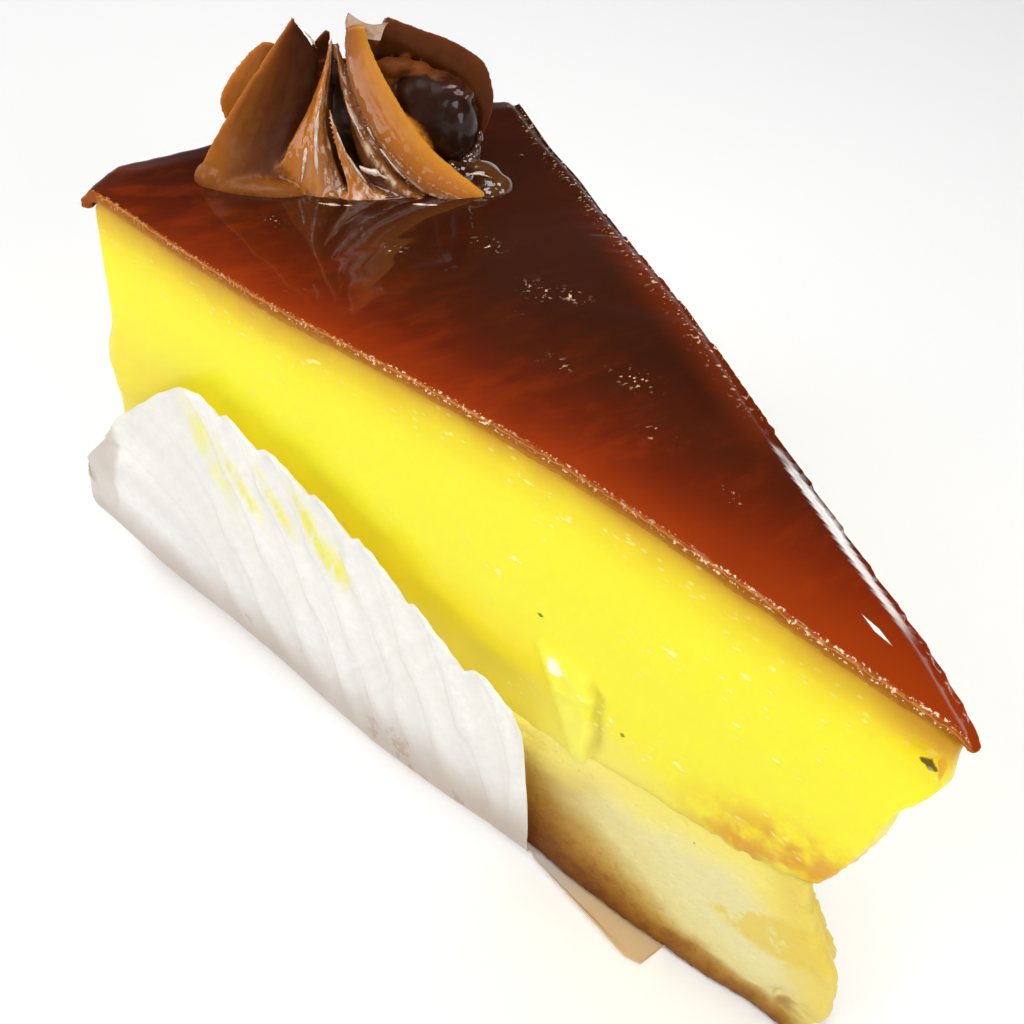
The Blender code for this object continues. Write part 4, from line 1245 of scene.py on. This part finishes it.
liner = {
    "thickness": 0.18,
    "rows": 44,
    "fold": 1.6,
    "fluteDepth": 1.0,
    "ribDepth": 0.10,
    "pleatDepth": 0.14,
    "edgeTurn": 0.35,
    "edgeCurl": 0.5,
    "lean": 0.7,  # how far a flute runs towards the tip for each mm down
    "sheetHeight": 0.5,  # middle of the bottom sheet
    "lyingAngle": 5,
    "nearEnd": 18.5,
    "farEnd": 9.0,
    "nearCorner": 129.4,
    "farCorner": 123.0,
    "cornerRadius": 5,
    "nearInset": 4.6,
    "farMargin": 2.4,  # how far the far side stands off, by the rim and by the tip
    "farSpread": 7.5,
    "cornerLift": 2.6,
    "cornerLean": 1.5,
    # steps along the near side, round a corner, along the rim, along the far side, and back across the tip
    "nearSteps": 330,
    "cornerSteps": 22,
    "rimSteps": 150,
    "farSteps": 190,
    "tipSteps": 36,
    # top of the wall along the near face: distance from the tip, height
    "wallTop": [
        (38.4, 0.4), (39.7, 6.0), (41.0, 12.4), (42.6, 18.6), (43.8, 23.6), (45.6, 27.4), (48.8, 29.6),
        (53.6, 29.6), (58.9, 32.2), (68.2, 37.2), (75.8, 40.2), (83.5, 42.2), (91.3, 43.2),
        (97.5, 43.8), (101.0, 43.0), (106.4, 38.8), (112.6, 31.5), (116.0, 27.0), (118.5, 22.4),
        (121.5, 17.5), (124.5, 12.6), (126.5, 8.5),
    ],
    # the dents between its scallops: half width, depth, distances from the tip
    "dentWidth": 3.6,
    "dentDepth": 2.1,
    "dents": [
        35.0, 44.2, 53.2, 63.0, 72.5, 79.8, 88.5, 95.3, 104.0, 113.0, 121.5, 130.0,
    ],
    # how far its foot stands out of the near face
    "foot": [
        (18.0, 0.8), (32.0, 1.0), (39.0, 1.0), (46.0, 1.2), (53.0, 1.7), (65.0, 2.0), (75.0, 1.4),
        (85.0, 0.5), (96.0, 0.3), (131.0, 0.3),
    ],
    # how far the lying part of the flap reaches out
    "lying": [
        (18.0, 4.3), (20.6, 4.9), (25.0, 4.0), (32.0, 2.7), (38.4, 1.4), (46.0, 1.0),
    ],
    # smears of custard: distance from the tip, height, half sizes
    "smears": [
        (99.0, 38.5, 1.5, 4.2), (97.0, 33.0, 1.2, 4.2), (93.5, 36.0, 1.3, 3.0), (90.0, 32.0, 1.0, 2.4),
        (86.6, 36.5, 1.0, 2.8), (84.0, 33.5, 0.9, 2.4), (80.0, 36.5, 1.3, 3.2), (77.0, 32.6, 1.9, 3.6),
        (74.0, 30.8, 1.6, 2.0),
    ],
}


def readTable(table, place):
    # a value between the entries of a table of (place, value)
    if place <= table[0][0]:
        return table[0][1]
    for (start, low), (end, high) in zip(table, table[1:]):
        if place < end:
            return mix(low, high, (place - start) / (end - start))
    return table[-1][1]


def fluteCount(place):
    dents = liner["dents"]
    if place < dents[0]:
        return (place - dents[0]) / 9
    for index, (start, end) in enumerate(zip(dents, dents[1:])):
        if place < end:
            return index + (place - start) / (end - start)
    return len(dents) - 1 + (place - dents[-1]) / 8.7


def linerStations():
    # plan place, outward direction, fold angle, length of the flap, flute place, lift and lean of the wall
    stations = []
    lying = math.radians(liner["lyingAngle"])
    standing = math.radians(90)
    radius = liner["cornerRadius"]
    # the near side, which lies flat by the tip and stands up from there on
    arc = liner["fold"] * (math.pi / 2 - 1)
    steps = liner["nearSteps"]
    for turn in range(steps):
        reach = mix(liner["nearEnd"], liner["nearCorner"] - radius, turn / (steps - 1))
        stand = ease(37.4, 39.6, reach)
        top = readTable(liner["wallTop"], reach)
        dent = max((1 - abs(reach - place) / liner["dentWidth"]) for place in liner["dents"][1:8])
        top -= (liner["dentDepth"] * max(0.0, dent) ** 1.8 - 0.3) * ease(47, 52, reach)
        length = mix(readTable(liner["lying"], reach), max(1.2, top + arc), stand)
        margin = readTable(liner["foot"], reach)
        place = alongFace * reach + outOfFace * margin
        angle = mix(lying, standing, stand)
        stations.append((place, outOfFace, angle, length, reach, paperLift(reach), max(0.0, margin - 0.4)))
    # the near corner
    steps = liner["cornerSteps"]
    centre = alongFace * (liner["nearCorner"] - radius) - outOfFace * liner["nearInset"]
    for turn in range(1, steps):
        share = turn / steps
        outward = outOfFace.lerp(alongFace, share).normalized()
        lift = mix(paperLift(126), liner["cornerLift"], share)
        leaning = liner["cornerLean"] * share
        place = centre + outward * radius
        stations.append((place, outward, standing, mix(8.5, 7.0, share), 126 + 8 * share, lift, leaning))
    # the rim
    steps = liner["rimSteps"]
    for turn in range(steps + 1):
        share = turn / steps
        rimReach = mix(liner["nearCorner"], liner["farCorner"], ease(0, 0.8, share))
        inset = radius / rimReach
        angle = mix(-halfAngle + inset, halfAngle - inset, share)
        outward = Vector((-math.cos(angle), math.sin(angle), 0))
        height = mix(7.0, 13, ease(0.1, 0.8, share))
        lift = liner["cornerLift"] * ease(0.6, 0, share)
        leaning = liner["cornerLean"] * ease(0.3, 0, share)
        stations.append((outward * rimReach, outward, standing, height, 134 + 66 * share, lift, leaning))
    # the far corner
    steps = liner["cornerSteps"]
    centre = alongFar * (liner["farCorner"] - radius) + outOfFar * (liner["farMargin"] - radius)
    for turn in range(1, steps):
        share = turn / steps
        outward = alongFar.lerp(outOfFar, share).normalized()
        place = centre + outward * radius
        stations.append((place, outward, standing, mix(14, 11, share), 200 + 8 * share, 0.0, 0.0))
    # the far side, which lies down towards the tip
    steps = liner["farSteps"]
    for turn in range(steps + 1):
        share = turn / steps
        reach = mix(liner["farCorner"] - radius, liner["farEnd"], share)
        sink = ease(0.25, 0.75, share)
        place = alongFar * reach + outOfFar * mix(liner["farMargin"], liner["farSpread"], share)
        angle = mix(standing, lying, sink)
        stations.append((place, outOfFar, angle, mix(11, 3.4, sink), 208 + 109 * share, 0.0, 0.0))
    # and back across the tip
    steps = liner["tipSteps"]
    start, end = stations[-1][0], stations[0][0]
    outward = Vector((start.y - end.y, end.x - start.x, 0)).normalized()
    for turn in range(1, steps):
        stations.append((start.lerp(end, turn / steps), outward, 0.0, 1.0, 320, 0.0, 0.0))
    return stations


def sheetSpot(place, outward, lift):
    # the bottom sheet's border, a little inside the fold
    return cakeAxis + (place - outward * (0.6 + 1.4 * lift) + Vector((0, 0, liner["sheetHeight"]))) * mm


def flapSpot(distance, angle):
    # how far out and up the paper is at a distance from its fold
    bend = liner["fold"] * angle
    if distance <= bend:
        turned = distance / liner["fold"]
        return liner["fold"] * math.sin(turned), liner["fold"] * (1 - math.cos(turned))
    rest = distance - bend
    return (
        liner["fold"] * math.sin(angle) + rest * math.cos(angle),
        liner["fold"] * (1 - math.cos(angle)) + rest * math.sin(angle),
    )


def makeLiner():
    stations = linerStations()
    columns = len(stations)
    rows = liner["rows"]
    deselectAll()
    bpy.ops.mesh.primitive_grid_add(x_subdivisions=columns, y_subdivisions=rows, size=1)
    piece = bpy.context.object
    piece.name = "paperLiner"
    for vert in piece.data.vertices:
        column = round((vert.co.x + 0.5) * columns) % columns
        row = round((vert.co.y + 0.5) * rows)
        place, outward, angle, length, flutePlace, lift, leaning = stations[column]
        standing = math.sin(angle) ** 4
        if row == 0:
            vert.co = sheetSpot(place, outward, lift)
            continue
        share = (row - 1) / (rows - 1)
        length += 0.25 * lump((flutePlace, 0, 0), 3.0) * standing
        out, up = flapSpot(length * share ** 1.1, angle)
        # flutes lean towards the tip on their way down
        leanedPlace = flutePlace + liner["lean"] * max(0.0, length - up)
        flute = fluteCount(leanedPlace)
        lobe = abs(math.sin(math.pi * flute)) ** 0.8
        strength = standing * ease(2, 13, up) * ease(38, 46, flutePlace)
        out += liner["fluteDepth"] * lobe * strength
        # fine ribs and pleats between them
        rib = math.sin(2 * math.pi * flute * 4 + 1.3 * lump((flutePlace, up, 0), 6.0))
        rib *= 0.5 + 0.5 * lump((flutePlace, up, 5), 9.0)
        out += liner["ribDepth"] * rib * standing * ease(2, 6, up)
        pleat = lump((leanedPlace, up * 0.15, 0), 1.7, 4.0)
        out += liner["pleatDepth"] * pleat * standing * ease(1, 8, up)
        # the wall leans back to the cake from its foot
        out -= leaning * ease(0, 17, up) * standing
        # the very edge turns out a little
        out += liner["edgeTurn"] * ease(0.9, 1.0, share) * strength
        point = place + outward * out
        point.z = liner["sheetHeight"] + up + lift
        # where it lies, it is a little uneven and its edge curls up
        if angle < 1.0:
            point.z += 0.15 * lump((place.x, place.y, out), 7.0) * ease(0.5, 3, out)
            point.z += liner["edgeCurl"] * ease(0.82, 1.0, share) * ease(19, 30, flutePlace)
        vert.co = cakeAxis + point * mm
    startEdit()
    bpy.ops.mesh.remove_doubles(threshold=joinDistance)
    bpy.ops.mesh.select_all(action="DESELECT")
    bpy.ops.object.mode_set(mode="OBJECT")
    closeSheet(piece, stations)
    wall = piece.modifiers.new("thickness", "SOLIDIFY")
    wall.thickness = liner["thickness"] * mm
    wall.offset = 0.0
    applyAll(piece)
    paint(piece, linerMarks(piece))
    return piece


def closeSheet(piece, stations):
    # close the bottom sheet inside its border
    mesh = piece.data
    shared = {}
    for poly in mesh.polygons:
        for key in poly.edge_keys:
            shared[key] = shared.get(key, 0) + 1
    border = kdtree.KDTree(len(stations))
    for index, (place, outward, _, _, _, lift, _) in enumerate(stations):
        border.insert(sheetSpot(place, outward, lift), index)
    border.balance()
    for edge in mesh.edges:
        lone = shared.get(tuple(sorted(edge.vertices)), 0) == 1
        edge.select = lone and all(border.find(mesh.vertices[i].co)[2] < 0.02 * mm for i in edge.vertices)
    bpy.ops.object.mode_set(mode="EDIT")
    bpy.ops.mesh.select_mode(type="EDGE")
    bpy.ops.mesh.edge_face_add()
    bpy.ops.mesh.select_all(action="SELECT")
    bpy.ops.mesh.normals_make_consistent(inside=False)
    bpy.ops.object.mode_set(mode="OBJECT")
    if sum(p.normal.z * p.area for p in mesh.polygons) > 0:
        mesh.flip_normals()


def linerMarks(piece):
    marks = {name: [] for name in ("smear", "lowShade", "warm", "flute")}
    for vert in piece.data.vertices:
        along, out, height = faceSpot(vert.co)
        smear = 0.0
        for centre, level, wide, tall in liner["smears"]:
            leaning = along - centre - liner["lean"] * (height - level)
            smear += bump(leaning, 0, wide) * bump(height, level, tall)
        marks["smear"].append(min(1.0, smear) if out > 0 else 0.0)
        # shaded along the foot and round the near corner
        edge = height - 0.5 - 2.0 * ease(106, 128, along) + 0.7 * lump((along, height, 0), 5.0)
        low = ease(mix(13.5, 14.0, ease(88, 108, along)), 1.5, edge) if out > -8 else 0.3
        marks["lowShade"].append(max(low, 0.75 * ease(119.5, 121.5, along + 0.12 * height)))
        marks["warm"].append(ease(36, 27, along) if out > -8 else 0.0)
        # painted shade in the valleys between the flutes
        flute = fluteCount(along + liner["lean"] * max(0.0, readTable(liner["wallTop"], along) - height))
        uneven = 0.35 * lump((along * 0.9 + height * 0.6, 0, 0), 1.3, 6.0)
        valley = 1.05 - abs(math.sin(math.pi * flute)) ** 1.1 + uneven
        marks["flute"].append(max(0.0, valley) * ease(40, 46, along) if out > -4 else 0.0)
    return marks


def linerMaterial():
    recipe = Recipe("whitePaper")
    fibres = recipe.noise(900, 5, 0.6)
    tone = recipe.blend(recipe.span(fibres, 0.3, 0.7), (252, 251, 249), (245, 243, 240))
    # painted shade: darker in the valleys between the flutes
    tone = recipe.blend(recipe.times(recipe.attribute("flute"), 0.5), tone, (213, 211, 207))
    broad = recipe.span(recipe.noise(45, 3), 0.42, 0.66)
    tone = recipe.blend(recipe.times(broad, 0.4), tone, (224, 222, 217))
    # shaded and stained along the foot, warm where it lies flat
    low = recipe.attribute("lowShade")
    patchy = recipe.span(recipe.noise(60, 3), 0.2, 0.75, 0.75, 1.0)
    tone = recipe.blend(recipe.times(low, patchy), tone, (192, 177, 164))
    tone = recipe.blend(recipe.times(recipe.attribute("warm"), 0.75), tone, (212, 178, 122))
    stain = recipe.times(low, recipe.span(recipe.noise(140, 4, 0.7), 0.60, 0.68))
    tone = recipe.blend(recipe.times(stain, 0.65), tone, (172, 142, 116))
    # broken smears of custard
    broken = recipe.span(recipe.noise(420, 4, 0.6, recipe.place((1, 1, 0.4))), 0.36, 0.56)
    smear = recipe.times(recipe.attribute("smear"), recipe.plus(recipe.times(broken, 0.7), 0.2))
    tone = recipe.blend(smear, tone, (236, 232, 84))
    crinkle = recipe.relief(recipe.noise(200, 4, 0.6), 0.35, 0.3)
    return recipe.surface({
        "Base Color": tone,
        "Roughness": 0.55,
        "Specular IOR Level": 0.25,
        "Subsurface Weight": 0.2,
        "Subsurface Radius": (1.0, 1.0, 1.0),
        "Subsurface Scale": 0.0008,
        "Normal": recipe.relief(recipe.noise(1600, 3), 0.06, 0.4, crinkle),
    })


linerPiece = finishPiece(makeLiner(), linerMaterial(), "paper_liner")
linerPiece.visible_shadow = False  # thin paper lets the light through


# floor, lights and world

room = {
    "floorSize": 1.5,
    "floor": 0.96,
    "aim": (0, 0, 0.03),  # where the lamps point
    # pale walls up to one height, and a ceiling above another, dark so that the caramel stays dark
    "wallsUpTo": 0.12,
    "walls": 0.85,
    "ceilingFrom": 0.34,
    "ceiling": 0.02,
}

deselectAll()
bpy.ops.mesh.primitive_plane_add(size=room["floorSize"])
floor = bpy.context.object
floor.name = "studioFloor"
floorShade = (room["floor"], room["floor"], room["floor"], 1)
floor.data.materials.append(Recipe("paleFloor").surface({"Base Color": floorShade, "Roughness": 0.9}))

lamps = {
    # name: place, size, power
    "frontSoft": ((-0.15, -0.55, 0.42), 0.40, 1.7),
    "rightSoft": ((0.50, 0.02, 0.30), 0.25, 0.9),
    "topSoft": ((0.08, -0.10, 0.70), 0.35, 2.4),
    "ceilingFill": ((-0.35, 0.35, 0.90), 0.90, 5.0),
}


def addLamp(name, place, size, power):
    data = bpy.data.lights.new(name, "AREA")
    data.size = size
    data.energy = power
    lamp = bpy.data.objects.new(name, data)
    lamp.visible_camera = False
    lamp.visible_glossy = name != "ceilingFill"  # the ceiling stays out of the caramel's gloss
    bpy.context.scene.collection.objects.link(lamp)
    lamp.location = place
    lamp.rotation_euler = (Vector(room["aim"]) - Vector(place)).to_track_quat("-Z", "Y").to_euler()


for name, (place, size, power) in lamps.items():
    addLamp(name, place, size, power)

world = bpy.data.worlds.new("paleRoom")
world.use_nodes = True
sky = world.node_tree
skyPlace = sky.nodes.new("ShaderNodeTexCoord")
skySplit = sky.nodes.new("ShaderNodeSeparateXYZ")
skyRamp = sky.nodes.new("ShaderNodeValToRGB")
sky.links.new(skyPlace.outputs["Generated"], skySplit.inputs[0])
sky.links.new(skySplit.outputs["Z"], skyRamp.inputs["Fac"])
sky.links.new(skyRamp.outputs["Color"], sky.nodes["Background"].inputs["Color"])
skyStops = [(room["wallsUpTo"], room["walls"]), (room["ceilingFrom"], room["ceiling"])]
for element, (position, shade) in zip(skyRamp.color_ramp.elements, skyStops):
    element.position = position
    element.color = (shade, shade, shade, 1)
bpy.context.scene.world = world
bpy.context.scene.view_settings.view_transform = "Standard"
print("stage set")
